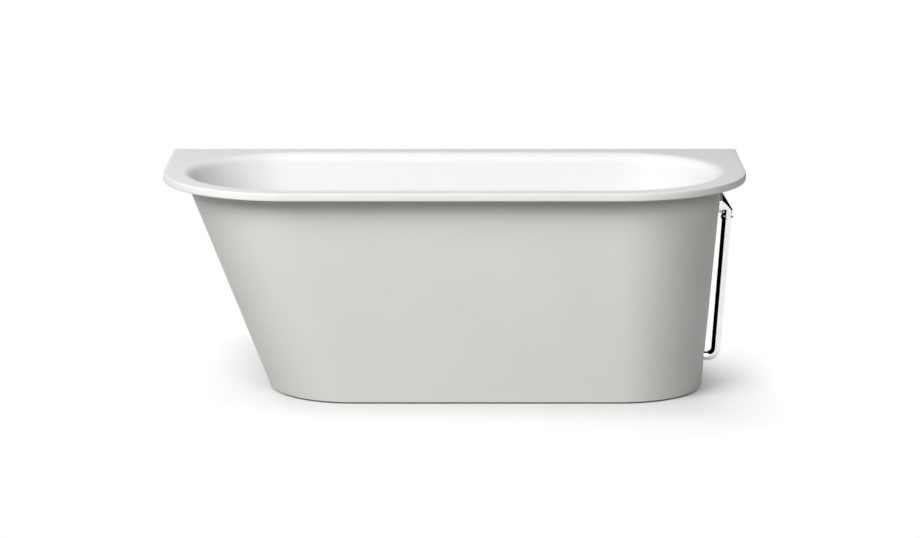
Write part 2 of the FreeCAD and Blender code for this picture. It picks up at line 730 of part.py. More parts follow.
def foot_stud(x, y, top):
    """Threaded stud with a hexagon for the spanner just above its pad."""
    stud = turned([
        (0, FOOT_SOCKET_FLOOR),
        (STUD_RADIUS, FOOT_SOCKET_FLOOR),
        (STUD_RADIUS, top - STUD_END_CHAMFER),
        (STUD_RADIUS - STUD_END_CHAMFER, top),
        (0, top),
    ], upright(x, y, 0))
    hex_base = upright(x, y, FOOT_PAD_HEIGHT)
    return stud.fuse(hexagon(STUD_HEX_FLATS, hex_base, STUD_HEX_HEIGHT, STUD_END_CHAMFER))


def stud_top(name, carrier_underside):
    """Level of a stud's upper end: above its nut, or inside the base board for the middle foot."""
    if name == "centre":
        return TUB_UNDERSIDE - STUD_END_CHAMFER
    return carrier_underside + RAIL_GAUGE + NUT_HEIGHT + STUD_PROTRUSION


def foot_lock_nuts():
    """Nuts that clamp each stud to its rail or plate."""
    nuts = []
    for name, x, y, underside in foot_places():
        levels = [underside - NUT_HEIGHT]
        if name != "centre":
            levels.append(underside + RAIL_GAUGE)
        for level in levels:
            base = upright(x, y, level)
            blank = hexagon(NUT_FLATS, base, NUT_HEIGHT, NUT_CHAMFER)
            nuts.append(blank.cut(rod(STUD_RADIUS + FIT_CLEARANCE, base, base + Z_AXIS * NUT_HEIGHT)))
    return Part.Compound(nuts)


def stay_bolt_y():
    """Bolt through a stay's lap on the front end of its rail."""
    return -RAIL_HALF_LENGTH + STAY_LAP / 2


def skirt_stay(rail_x):
    """Bent strip from the top of a rail's front end to the inner face of the skirt."""
    low = BOARD_UNDERSIDE
    inside = low + STAY_GAUGE
    top = low + STAY_LEG
    lap_end = -RAIL_HALF_LENGTH + STAY_LAP
    side = rail_x - STAY_WIDTH / 2
    corners = [
        Vector(side, lap_end, low),
        Vector(side, lap_end, inside),
        Vector(side, skirt_front_y(inside, -STAY_GAUGE), inside),
        Vector(side, skirt_front_y(top, -STAY_GAUGE), top),
        Vector(side, skirt_front_y(top, 0), top),
        Vector(side, skirt_front_y(low, 0), low),
    ]
    stay = prism(rounded_outline(corners, [0] * len(corners)), X_AXIS * STAY_WIDTH)
    hole = upright(rail_x, stay_bolt_y(), low - OVERRUN)
    return stay.cut(rod(STAY_BOLT_RADIUS + HOLE_CLEARANCE, hole, hole + Z_AXIS * 2 * OVERRUN))


def stay_bolts():
    """Bolts and nuts that hold each stay to its rail."""
    pieces = []
    for rail_x in (-RAIL_FROM_CENTRE, RAIL_FROM_CENTRE):
        seat = upright(rail_x, stay_bolt_y(), BOARD_UNDERSIDE + STAY_GAUGE)
        under = upright(rail_x, stay_bolt_y(), RAIL_WEB_UNDERSIDE - STAY_NUT_HEIGHT)
        head = hexagon(STAY_BOLT_FLATS, seat, STAY_BOLT_HEAD, STUD_END_CHAMFER)
        pieces.append(head.fuse(rod(STAY_BOLT_RADIUS, under, seat)))
        nut = hexagon(STAY_BOLT_FLATS, under, STAY_NUT_HEIGHT, STUD_END_CHAMFER)
        pieces.append(nut.cut(rod(STAY_BOLT_RADIUS + FIT_CLEARANCE, under, seat)))
    return Part.Compound(pieces)


def bracket_centres():
    """Positions of the wall brackets along the bath."""
    reach = BATH_LENGTH / 2 - BRACKET_FROM_END
    return (-reach, reach)


def bracket_screw_places():
    """Points under the rim where the bracket screws go up into it."""
    places = []
    for centre in bracket_centres():
        for offset in (-BRACKET_SCREW_SPACING / 2, BRACKET_SCREW_SPACING / 2):
            places.append(upright(centre + offset, BATH_DEPTH / 2 - BRACKET_SCREW_SETBACK, RIM_UNDERSIDE))
    return places


def wall_bracket(centre_x):
    """Bent plate under the back of the rim, drilled for two wall screws."""
    side = centre_x - BRACKET_LENGTH / 2
    wall_y = BATH_DEPTH / 2
    inner_y = wall_y - BRACKET_GAUGE
    inner_level = RIM_UNDERSIDE - BRACKET_GAUGE
    corners = [
        Vector(side, wall_y - BRACKET_LEDGE, RIM_UNDERSIDE),
        Vector(side, wall_y - BRACKET_LEDGE, inner_level),
        Vector(side, inner_y, inner_level),
        Vector(side, inner_y, RIM_UNDERSIDE - BRACKET_DROP),
        Vector(side, wall_y, RIM_UNDERSIDE - BRACKET_DROP),
        Vector(side, wall_y, RIM_UNDERSIDE),
    ]
    radii = [0, 0, 0, 0, 0, BRACKET_BEND_RADIUS]
    bracket = prism(rounded_outline(corners, radii), X_AXIS * BRACKET_LENGTH)
    for offset in (-BRACKET_HOLE_SPACING / 2, BRACKET_HOLE_SPACING / 2):
        mouth = upright(centre_x + offset, wall_y, RIM_UNDERSIDE - BRACKET_HOLE_DROP)
        bracket = bracket.cut(rod(BRACKET_HOLE_RADIUS, mouth - Y_AXIS * OVERRUN, mouth))
    for screw_at in bracket_screw_places():
        hole = rod(SCREW_SHANK_RADIUS + HOLE_CLEARANCE, screw_at - Z_AXIS * BRACKET_GAUGE, screw_at)
        bracket = bracket.cut(hole)
    return bracket


def bracket_screws():
    """Screws that hold the wall brackets to the rim."""
    screws = []
    for screw_at in bracket_screw_places():
        screw = pan_screw(SCREW_HEAD_RADIUS, SCREW_HEAD_HEIGHT, SCREW_SHANK_RADIUS, SCREW_LENGTH)
        screws.append(aimed(screw, screw_at - Z_AXIS * BRACKET_GAUGE, Z_AXIS))
    return Part.Compound(screws)


def overflow_point(out, up):
    """Point beside the overflow's axis, out from the skirt's foot end and up along it."""
    face = Vector(skirt_foot_x(OVERFLOW_HEIGHT, SKIRT_WALL), 0, OVERFLOW_HEIGHT)
    return face + OUTWARD * out + UPWARD * up


# Depths inwards from the skirt's outer face along the overflow's axis
SKIN_GAP = SKIRT_FOOT_CLEARANCE * cosine(FOOT_WALL_ANGLE)
TUB_OUTER_DEPTH = SKIRT_WALL + SKIN_GAP
TUB_INNER_DEPTH = TUB_OUTER_DEPTH + TUB_WALL
ELBOW_FACE = GASKET_THICKNESS + ELBOW_FLANGE_THICKNESS
ELBOW_MOUTH = overflow_point(OVERFLOW_STANDOFF, -OVERFLOW_DROP)
ELBOW_SOCKET_END = ELBOW_MOUTH + PIPE_DOWN * ELBOW_SOCKET_LENGTH
PIPE_TOP = ELBOW_MOUTH + PIPE_DOWN * ELBOW_SEAT


def spigot_hole():
    """Cutter for the overflow's spigot through skirt and tub."""
    inner_end = overflow_point(-TUB_INNER_DEPTH - OVERRUN, 0)
    return rod(SPIGOT_RADIUS + HOLE_CLEARANCE, overflow_point(OVERRUN, 0), inner_end)


def round_section(centre, outer, radius):
    """Circle as two half arcs that start at +Y and pass through the outer side first."""
    left = centre + Y_AXIS * radius
    right = centre - Y_AXIS * radius
    return Part.Wire([
        Part.Arc(left, centre + outer * radius, right).toShape(),
        Part.Arc(right, centre - outer * radius, left).toShape(),
    ])


def overflow_elbow():
    """Cast elbow: wall flange, hood that narrows to the pipe socket, and spigot through both skins."""
    flange_back = overflow_point(GASKET_THICKNESS, 0)
    flange_front = overflow_point(ELBOW_FACE, 0)
    spigot_end = overflow_point(ELBOW_SEAT - TUB_INNER_DEPTH, 0)
    socket_radius = PIPE_RADIUS + FIT_CLEARANCE + ELBOW_SOCKET_WALL
    bore = SPIGOT_RADIUS - SPIGOT_WALL
    pipe_bore = PIPE_RADIUS - PIPE_WALL
    hood = ruled_solid(
        round_section(flange_front, UPWARD, ELBOW_FLANGE_RADIUS),
        round_section(ELBOW_MOUTH, PIPE_OUT, socket_radius),
    )
    body = hood.fuse(rod(ELBOW_FLANGE_RADIUS, flange_back, flange_front))
    body = body.fuse(rod(socket_radius, ELBOW_MOUTH, ELBOW_SOCKET_END))
    body = body.fuse(rod(SPIGOT_RADIUS, spigot_end, flange_front))
    passage = ruled_solid(
        round_section(flange_front, UPWARD, bore),
        round_section(ELBOW_MOUTH, PIPE_OUT, pipe_bore),
    )
    body = body.cut(passage)
    body = body.cut(rod(bore, spigot_end, flange_front))
    body = body.cut(rod(pipe_bore, ELBOW_MOUTH, PIPE_TOP))
    body = body.cut(rod(PIPE_RADIUS + FIT_CLEARANCE, PIPE_TOP, ELBOW_SOCKET_END))
    bridge = bridge_bar(spigot_end)
    return body.fuse(bridge)


def bridge_bar(spigot_end):
    """Bar across the spigot with a threaded boss for the grid's screw."""
    end = spigot_end + OUTWARD * BRIDGE_LENGTH
    across = SPIGOT_RADIUS - SPIGOT_WALL / 2
    half = UPWARD * BRIDGE_WIDTH / 2
    corners = [
        spigot_end - Y_AXIS * across - half,
        spigot_end + Y_AXIS * across - half,
        spigot_end + Y_AXIS * across + half,
        spigot_end - Y_AXIS * across + half,
    ]
    bar = prism(rounded_outline(corners, [0] * len(corners)), end - spigot_end)
    bar = bar.fuse(rod(BRIDGE_BOSS_RADIUS, spigot_end, end))
    return bar.cut(rod(GRID_SCREW_RADIUS + FIT_CLEARANCE, spigot_end, end))


def overflow_gasket():
    """Thin seal between the elbow's flange and the skirt."""
    return sleeve(
        ELBOW_FLANGE_RADIUS - GASKET_THICKNESS,
        SPIGOT_RADIUS + HOLE_CLEARANCE,
        overflow_point(0, 0),
        overflow_point(GASKET_THICKNESS, 0),
    )


def overflow_spacer():
    """Ring that fills the space between skirt and tub round the spigot."""
    blank = rod(SPACER_RADIUS, overflow_point(-TUB_INNER_DEPTH, 0), overflow_point(0, 0))
    between = skirt_form(SHADOW_GAP, RIM_UNDERSIDE, 0, SKIRT_BACK)
    tub = tub_form(TUB_UNDERSIDE, RIM_UNDERSIDE, TUB_WALL, TUB_FLOOR_RADIUS + TUB_WALL)
    return blank.common(between).cut(tub).cut(spigot_hole())


def overflow_seal():
    """Rubber ring between the grid and the tub's inner face."""
    start = overflow_point(-TUB_INNER_DEPTH, 0)
    end = overflow_point(-TUB_INNER_DEPTH - GRID_SEAL_THICKNESS, 0)
    outer = GRID_RADIUS - GRID_EDGE_RADIUS
    return sleeve(outer, outer - GRID_SEAL_WIDTH, start, end)


def overflow_grid():
    """Round grid over the overflow's mouth, with a soft edge and a ring of holes."""
    bend = GRID_EDGE_RADIUS * (1 - math.sqrt(0.5))
    disc = turned([
        (0, 0),
        (GRID_RADIUS, 0),
        (GRID_RADIUS, GRID_THICKNESS - GRID_EDGE_RADIUS),
        (GRID_RADIUS - GRID_EDGE_RADIUS, GRID_THICKNESS, GRID_RADIUS - bend, GRID_THICKNESS - bend),
        (0, GRID_THICKNESS),
    ], ORIGIN)
    for index in range(GRID_HOLE_COUNT):
        turn = 360 * index / GRID_HOLE_COUNT
        foot = Vector(GRID_HOLE_CIRCLE * cosine(turn), GRID_HOLE_CIRCLE * sine(turn), 0)
        disc = disc.cut(rod(GRID_HOLE_RADIUS, foot, foot + Z_AXIS * GRID_THICKNESS))
    disc = disc.cut(rod(GRID_SCREW_RADIUS + HOLE_CLEARANCE, ORIGIN, Z_AXIS * GRID_THICKNESS))
    return aimed(disc, overflow_point(-TUB_INNER_DEPTH - GRID_SEAL_THICKNESS, 0), OUTWARD * -1)


def overflow_grid_screw():
    """Screw through the grid's centre into the bar across the spigot."""
    length = GRID_THICKNESS + GRID_SEAL_THICKNESS + BRIDGE_LENGTH
    screw = pan_screw(GRID_SCREW_HEAD_RADIUS, GRID_SCREW_HEAD_HEIGHT, GRID_SCREW_RADIUS, length)
    seat = overflow_point(-TUB_INNER_DEPTH - GRID_SEAL_THICKNESS - GRID_THICKNESS, 0)
    return aimed(screw, seat, OUTWARD)


def overflow_collar():
    """Round nut with a swollen middle, under the elbow's socket, hollowed for its sealing ring."""
    inner = PIPE_RADIUS + FIT_CLEARANCE
    edge = inner + ELBOW_SOCKET_WALL
    groove = inner + OLIVE_WIDTH
    nut = turned([
        (inner, COLLAR_LENGTH),
        (inner, OLIVE_LENGTH),
        (groove, OLIVE_LENGTH),
        (groove, 0),
        (edge, 0),
        (edge, COLLAR_EDGE),
        (edge, COLLAR_LENGTH - COLLAR_EDGE, inner + COLLAR_BULGE, COLLAR_LENGTH / 2),
        (edge, COLLAR_LENGTH),
    ], ORIGIN)
    return aimed(nut, ELBOW_SOCKET_END, PIPE_DOWN)


def overflow_olive():
    """Sealing ring inside the collar, round the pipe."""
    inner = PIPE_RADIUS + FIT_CLEARANCE
    end = ELBOW_SOCKET_END + PIPE_DOWN * OLIVE_LENGTH
    return sleeve(inner + OLIVE_WIDTH - FIT_CLEARANCE, inner, ELBOW_SOCKET_END, end)


def pipe_end_x():
    """Inner end of the overflow pipe, inside the trap's port."""
    return WASTE_X + TRAP_PORT_REACH - PIPE_INSERTION


def swept_pipe(radius):
    """Solid bar along the overflow pipe's route: a leaning run, one bend and a level run."""
    fall = (PIPE_TOP.z - TRAP_PORT_LEVEL) / cosine(PIPE_LEAN)
    corner = PIPE_TOP + PIPE_DOWN * fall
    inwards = X_AXIS * -1
    half_turn = PIPE_DOWN.getAngle(inwards) / 2
    run = PIPE_BEND_RADIUS * math.tan(half_turn)
    towards_middle = (inwards - PIPE_DOWN).normalize()
    reach = PIPE_BEND_RADIUS / math.cos(half_turn) - PIPE_BEND_RADIUS
    bend_start = corner - PIPE_DOWN * run
    bend_end = corner + inwards * run
    path = Part.Wire([
        Part.LineSegment(PIPE_TOP, bend_start).toShape(),
        Part.Arc(bend_start, corner + towards_middle * reach, bend_end).toShape(),
        Part.LineSegment(bend_end, Vector(pipe_end_x(), 0, TRAP_PORT_LEVEL)).toShape(),
    ])
    ring = Part.Wire(Part.makeCircle(radius, PIPE_TOP, PIPE_DOWN))
    return path.makePipeShell([ring], True, False)


def overflow_pipe():
    """Chrome pipe from the elbow down the foot end, through the skirt and into the trap."""
    return swept_pipe(PIPE_RADIUS).cut(swept_pipe(PIPE_RADIUS - PIPE_WALL))


def pipe_grommet():
    """Rubber grommet round the pipe, with a lip on each face of the skirt."""
    centre_x = skirt_foot_x(TRAP_PORT_LEVEL, 0)
    start = Vector(centre_x - OVERRUN, 0, TRAP_PORT_LEVEL)
    end = Vector(centre_x + OVERRUN, 0, TRAP_PORT_LEVEL)
    body_radius = PIPE_RADIUS + GROMMET_WALL
    bounds = [SHADOW_GAP, RIM_UNDERSIDE]
    outside = skirt_form(*bounds, SKIRT_WALL + GROMMET_LIP_THICKNESS, SKIRT_BACK)
    skirt_face = skirt_form(*bounds, SKIRT_WALL, SKIRT_BACK)
    inner_face = skirt_form(*bounds, 0, SKIRT_BACK)
    inside = skirt_form(*bounds, -GROMMET_LIP_THICKNESS, SKIRT_BACK)
    lips = rod(body_radius + GROMMET_LIP, start, end).common(outside).cut(inside)
    groove = skirt_face.cut(inner_face).cut(rod(body_radius, start, end))
    return lips.cut(groove).cut(rod(PIPE_RADIUS + FIT_CLEARANCE, start, end))


def waste_point(level):
    """Point on the waste's axis."""
    return upright(WASTE_X, 0, level)


def waste_flange():
    """Chrome flange and tail, with a spider inside that carries the plug."""
    top = WASTE_FLANGE_LEVEL + WASTE_FLANGE_THICKNESS
    round_top = WASTE_FLANGE_RADIUS - WASTE_FLANGE_EDGE
    bend = WASTE_FLANGE_EDGE * (1 - math.sqrt(0.5))
    body = turned([
        (WASTE_TAIL_BORE, WASTE_TAIL_END),
        (WASTE_TAIL_RADIUS, WASTE_TAIL_END),
        (WASTE_TAIL_RADIUS, WASTE_FLANGE_LEVEL),
        (WASTE_FLANGE_RADIUS, WASTE_FLANGE_LEVEL),
        (WASTE_FLANGE_RADIUS, top - WASTE_FLANGE_EDGE),
        (round_top, top, WASTE_FLANGE_RADIUS - bend, top - bend),
        (WASTE_SEAT_RADIUS, top),
        (WASTE_SEAT_RADIUS - WASTE_SEAT_DEPTH, WASTE_SEAT_LEVEL),
        (WASTE_TAIL_BORE, WASTE_SEAT_LEVEL),
    ], waste_point(0))
    spider_base = SPIDER_TOP - SPIDER_HEIGHT
    body = body.fuse(rod(SPIDER_HUB_RADIUS, waste_point(spider_base), waste_point(SPIDER_TOP)))
    reach = WASTE_TAIL_RADIUS - WASTE_TAIL_WALL / 2
    half = SPIDER_ARM_WIDTH / 2
    for index in range(SPIDER_ARM_COUNT):
        corners = level_rectangle(0, reach, -half, half, spider_base)
        arm = prism(rounded_outline(corners, [0] * len(corners)), Z_AXIS * SPIDER_HEIGHT)
        arm.rotate(ORIGIN, Z_AXIS, 360 * index / SPIDER_ARM_COUNT)
        arm.translate(waste_point(0))
        body = body.fuse(arm)
    bore = guide_radius() + FIT_CLEARANCE
    return body.cut(rod(bore, waste_point(spider_base), waste_point(SPIDER_TOP)))


def waste_top_seal():
    """Thin seal under the flange."""
    return sleeve(
        WASTE_FLANGE_RADIUS - WASTE_FLANGE_EDGE,
        WASTE_TAIL_RADIUS + HOLE_CLEARANCE,
        waste_point(WASTE_RECESS_LEVEL),
        waste_point(WASTE_FLANGE_LEVEL),
    )


def waste_under_seal():
    """Thick seal under the tub's floor."""
    return sleeve(
        WASTE_UNDER_SEAL_RADIUS,
        WASTE_TAIL_RADIUS + FIT_CLEARANCE,
        waste_point(TUB_UNDERSIDE - WASTE_UNDER_SEAL),
        waste_point(TUB_UNDERSIDE),
    )


def waste_backnut():
    """Hexagonal nut that pulls the flange down."""
    base = waste_point(TUB_UNDERSIDE - WASTE_UNDER_SEAL - WASTE_BACKNUT_HEIGHT)
    blank = hexagon(WASTE_BACKNUT_FLATS, base, WASTE_BACKNUT_HEIGHT, NUT_CHAMFER)
    return blank.cut(rod(WASTE_TAIL_RADIUS + FIT_CLEARANCE, base, base + Z_AXIS * WASTE_BACKNUT_HEIGHT))


def guide_bore():
    """Bore of the plug's guide, a running fit on the stem."""
    return STEM_RADIUS + FIT_CLEARANCE


def guide_radius():
    """Outside of the plug's guide."""
    return guide_bore() + GUIDE_WALL


def plug_guide():
    """Brass sleeve on the spider, closed at its foot, that guides the stem and holds the spring."""
    return turned([
        (0, SPRING_BASE - GUIDE_FLOOR),
        (guide_radius(), SPRING_BASE - GUIDE_FLOOR),
        (guide_radius(), SPIDER_TOP),
        (GUIDE_COLLAR_RADIUS, SPIDER_TOP),
        (GUIDE_COLLAR_RADIUS, SPIDER_TOP + GUIDE_COLLAR_HEIGHT),
        (guide_radius(), SPIDER_TOP + GUIDE_COLLAR_HEIGHT),
        (guide_radius(), SPIDER_TOP + GUIDE_COLLAR_HEIGHT + GUIDE_TOP),
        (guide_bore(), SPIDER_TOP + GUIDE_COLLAR_HEIGHT + GUIDE_TOP),
        (guide_bore(), SPRING_BASE),
        (0, SPRING_BASE),
    ], waste_point(0))


def plug_spring():
    """Coil spring under the stem, one unbroken wire between the guide's floor and the stem's end."""
    radius = STEM_RADIUS - SPRING_WIRE_RADIUS - FIT_CLEARANCE
    low = SPRING_BASE + SPRING_WIRE_RADIUS
    rise = SPRING_LENGTH - 2 * SPRING_WIRE_RADIUS
    quarters = 4 * SPRING_TURNS

    def on_helix(quarter):
        turn = 90 * quarter
        level = low + rise * quarter / quarters
        return waste_point(level) + Vector(radius * cosine(turn), radius * sine(turn), 0)

    edges = []
    for quarter in range(quarters):
        arc = Part.Arc(on_helix(quarter), on_helix(quarter + 0.5), on_helix(quarter + 1))
        edges.append(arc.toShape())
    start = on_helix(0)
    ring = Part.Wire(Part.makeCircle(SPRING_WIRE_RADIUS, start, edges[0].tangentAt(edges[0].FirstParameter)))
    least_gap = rise / SPRING_TURNS - 2 * SPRING_WIRE_RADIUS
    print("plug spring, least gap between turns:", round(least_gap, 2))
    return Part.Wire(edges).makePipeShell([ring], True, False)


def plug_cap():
    """Crowned push cap with a boss for its stem and a seat for its seal."""
    crown = PLUG_LEVEL + PLUG_EDGE_HEIGHT + PLUG_CROWN
    rim = PLUG_LEVEL + PLUG_EDGE_HEIGHT
    half_radius = PLUG_RADIUS / 2
    sphere = (PLUG_RADIUS ** 2 + PLUG_CROWN ** 2) / (2 * PLUG_CROWN)
    half_level = crown - sphere + math.sqrt(sphere ** 2 - half_radius ** 2)
    boss = PLUG_LEVEL - PLUG_BOSS_HEIGHT
    return turned([
        (PLUG_RADIUS, PLUG_LEVEL),
        (PLUG_RADIUS, rim),
        (0, crown, half_radius, half_level),
        (0, STEM_TOP),
        (STEM_RADIUS + FIT_CLEARANCE, STEM_TOP),
        (STEM_RADIUS + FIT_CLEARANCE, boss),
        (PLUG_BOSS_RADIUS, boss),
        (PLUG_BOSS_RADIUS, PLUG_LEVEL),
    ], waste_point(0))


def plug_seal():
    """Rubber ring under the cap that closes on the flange's seat."""
    return sleeve(
        PLUG_SEAL_RADIUS,
        PLUG_SEAL_RADIUS - PLUG_SEAL_WIDTH,
        waste_point(PLUG_SEAL_LEVEL),
        waste_point(PLUG_LEVEL),
    )


def plug_stem():
    """Round stem from the cap's boss down into the guide."""
    return rod(STEM_RADIUS, waste_point(STEM_END), waste_point(STEM_TOP))


def trap_body():
    """Low trap: inlet leg, overflow port, flat chamber with a dip baffle, and the outlet's collar."""
    inlet_bore = TRAP_INLET_RADIUS - TRAP_WALL
    flange_base = TRAP_INLET_LEVEL - TRAP_INLET_FLANGE_THICKNESS
    port_radius = PIPE_RADIUS + FIT_CLEARANCE + TRAP_PORT_WALL
    port_mouth = Vector(WASTE_X + TRAP_PORT_REACH, 0, TRAP_PORT_LEVEL)
    port_stop = Vector(pipe_end_x(), 0, TRAP_PORT_LEVEL)
    port_root = waste_point(TRAP_PORT_LEVEL)
    swivel_top = CHAMBER_TOP + SWIVEL_COLLAR_HEIGHT
    collar_bore = OUTLET_RADIUS + FIT_CLEARANCE
    chamber = prism(
        stadium(
            SWIVEL_X - CHAMBER_HALF_WIDTH, WASTE_X + CHAMBER_HALF_WIDTH, CHAMBER_HALF_WIDTH, CHAMBER_BASE
        ),
        Z_AXIS * CHAMBER_HEIGHT,
    )
    chamber = chamber.makeFillet(CHAMBER_EDGE_RADIUS, level_edges(chamber, CHAMBER_BASE))
    body = chamber.fuse(rod(TRAP_INLET_RADIUS, waste_point(CHAMBER_TOP), waste_point(TRAP_INLET_LEVEL)))
    body = body.fuse(
        rod(TRAP_INLET_RADIUS + TRAP_INLET_FLANGE, waste_point(flange_base), waste_point(TRAP_INLET_LEVEL))
    )
    body = body.fuse(rod(port_radius, port_root, port_mouth))
    body = body.fuse(
        rod(collar_bore + SWIVEL_COLLAR_WALL, swivel_point(CHAMBER_TOP), swivel_point(swivel_top))
    )
    half_inside = CHAMBER_HALF_WIDTH - TRAP_WALL
    hollow = prism(
        stadium(SWIVEL_X - half_inside, WASTE_X + half_inside, half_inside, CHAMBER_BASE + TRAP_WALL),
        Z_AXIS * (CHAMBER_HEIGHT - 2 * TRAP_WALL),
    )
    baffle_x = (SWIVEL_X + WASTE_X) / 2
    baffle_corners = level_rectangle(
        baffle_x - TRAP_WALL / 2,
        baffle_x + TRAP_WALL / 2,
        -CHAMBER_HALF_WIDTH,
        CHAMBER_HALF_WIDTH,
        CHAMBER_BASE + TRAP_WALL + BAFFLE_GAP,
    )
    baffle = prism(
        rounded_outline(baffle_corners, [0] * len(baffle_corners)),
        Z_AXIS * (CHAMBER_HEIGHT - 2 * TRAP_WALL - BAFFLE_GAP),
    )
    body = body.cut(hollow.cut(baffle))
    body = body.cut(rod(inlet_bore, waste_point(CHAMBER_TOP - TRAP_WALL), waste_point(TRAP_INLET_LEVEL)))
    body = body.cut(rod(PIPE_RADIUS - PIPE_WALL, port_root, port_stop))
    body = body.cut(rod(PIPE_RADIUS + FIT_CLEARANCE, port_stop, port_mouth))
    return body.cut(rod(collar_bore, swivel_point(CHAMBER_TOP - TRAP_WALL), swivel_point(swivel_top)))


def swivel_point(level):
    """Point on the upright axis of the trap's swivelling outlet."""
    return upright(SWIVEL_X, 0, level)


def trap_inlet_seal():
    """Flat seal between the waste's tail and the trap."""
    return sleeve(
        TRAP_INLET_RADIUS, WASTE_TAIL_BORE, waste_point(TRAP_INLET_LEVEL), waste_point(WASTE_TAIL_END)
    )


def trap_union_nut():
    """Fluted nut that hooks under the trap's flange and grips the waste's tail."""
    flange_radius = TRAP_INLET_RADIUS + TRAP_INLET_FLANGE
    base = TRAP_INLET_LEVEL - TRAP_INLET_FLANGE_THICKNESS - UNION_NUT_LIP
    height = UNION_NUT_LIP + TRAP_INLET_FLANGE_THICKNESS + TRAP_INLET_SEAL + UNION_NUT_GRIP
    pocket_radius = flange_radius + HOLE_CLEARANCE
    nut = fluted_ring(pocket_radius + UNION_NUT_WALL, WASTE_TAIL_RADIUS + FIT_CLEARANCE, height)
    nut.translate(waste_point(base))
    lip_hole = rod(TRAP_INLET_RADIUS + HOLE_CLEARANCE, waste_point(base), waste_point(WASTE_TAIL_END))
    pocket = rod(pocket_radius, waste_point(base + UNION_NUT_LIP), waste_point(WASTE_TAIL_END))
    return nut.cut(lip_hole).cut(pocket)


def overflow_tail_seal():
    """Rubber ring at the mouth of the trap's overflow port."""
    start = Vector(WASTE_X + TRAP_PORT_REACH, 0, TRAP_PORT_LEVEL)
    radius = PIPE_RADIUS + FIT_CLEARANCE
    return sleeve(radius + TRAP_PORT_WALL, radius, start, start + X_AXIS * TAIL_SEAL_LENGTH)


def overflow_tail_nut():
    """Fluted nut that presses the seal onto the overflow pipe."""
    port_radius = PIPE_RADIUS + FIT_CLEARANCE + TRAP_PORT_WALL + FIT_CLEARANCE
    nut = fluted_ring(port_radius + TAIL_NUT_WALL, PIPE_RADIUS + HOLE_CLEARANCE, TAIL_NUT_LENGTH)
    nut = nut.cut(rod(port_radius, ORIGIN, Z_AXIS * (TAIL_NUT_LENGTH - TAIL_NUT_LIP)))
    mouth = WASTE_X + TRAP_PORT_REACH + TAIL_SEAL_LENGTH
    base = Vector(mouth + TAIL_NUT_LIP - TAIL_NUT_LENGTH, 0, TRAP_PORT_LEVEL)
    return aimed(nut, base, X_AXIS)


def trap_outlet_elbow():
    """Swivelling elbow: spigot in the trap's collar, shoulder above it, and a pipe socket to the wall."""
    bore = OUTLET_RADIUS - OUTLET_WALL
    spigot_end = SWIVEL_LEVEL - SWIVEL_SPIGOT_LENGTH
    centre = swivel_point(OUTLET_LEVEL)
    mouth = centre + Y_AXIS * OUTLET_REACH
    shoulder_top = swivel_point(SWIVEL_LEVEL + OUTLET_WALL)
    shoulder = rod(OUTLET_RADIUS + SWIVEL_COLLAR_WALL, swivel_point(SWIVEL_LEVEL), shoulder_top)
    body = rod(OUTLET_RADIUS, swivel_point(spigot_end), centre)
    body = body.fuse(shoulder)
    body = body.fuse(Part.makeSphere(OUTLET_RADIUS, centre))
    body = body.fuse(rod(OUTLET_RADIUS, centre, mouth))
    body = body.cut(rod(bore, swivel_point(spigot_end), centre))
    body = body.cut(Part.makeSphere(bore, centre))
    narrow = OUTLET_SOCKET_RADIUS - OUTLET_WALL
    body = body.cut(rod(narrow, centre, mouth))
    body = body.cut(rod(OUTLET_SOCKET_RADIUS, mouth - Y_AXIS * OUTLET_SOCKET_DEPTH, mouth))
    groove_half = SWIVEL_SEAL_RADIUS + FIT_CLEARANCE
    groove_level = SWIVEL_LEVEL - SWIVEL_SEAL_DROP
    groove = sleeve(
        OUTLET_RADIUS + FIT_CLEARANCE,
        swivel_seal_reach() - SWIVEL_SEAL_RADIUS,
        swivel_point(groove_level - groove_half),
        swivel_point(groove_level + groove_half),
    )
    return body.cut(groove)


def swivel_seal_reach():
    """Radius of the swivel seal's ring at the middle of its section, a little proud of its spigot."""
    return OUTLET_RADIUS + FIT_CLEARANCE / 2 - SWIVEL_SEAL_RADIUS


def swivel_seal():
    """Sealing ring in the spigot's groove."""
    centre = swivel_point(SWIVEL_LEVEL - SWIVEL_SEAL_DROP)
    return Part.makeTorus(swivel_seal_reach(), SWIVEL_SEAL_RADIUS, centre, Z_AXIS)


def outlet_seal():
    """Rubber ring at the mouth of the outlet's pipe socket."""
    mouth = swivel_point(OUTLET_LEVEL) + Y_AXIS * OUTLET_REACH
    return sleeve(OUTLET_RADIUS, OUTLET_SOCKET_RADIUS, mouth, mouth + Y_AXIS * OUTLET_SEAL_LENGTH)


def outlet_nut():
    """Fluted nut over the outlet's mouth."""
    grip = OUTLET_RADIUS + FIT_CLEARANCE
    nut = fluted_ring(grip + OUTLET_NUT_WALL, OUTLET_SOCKET_RADIUS, OUTLET_NUT_LENGTH)
    nut = nut.cut(rod(grip, ORIGIN, Z_AXIS * (OUTLET_NUT_LENGTH - OUTLET_NUT_LIP)))
    reach = OUTLET_REACH + OUTLET_SEAL_LENGTH + OUTLET_NUT_LIP - OUTLET_NUT_LENGTH
    return aimed(nut, swivel_point(OUTLET_LEVEL) + Y_AXIS * reach, Y_AXIS)


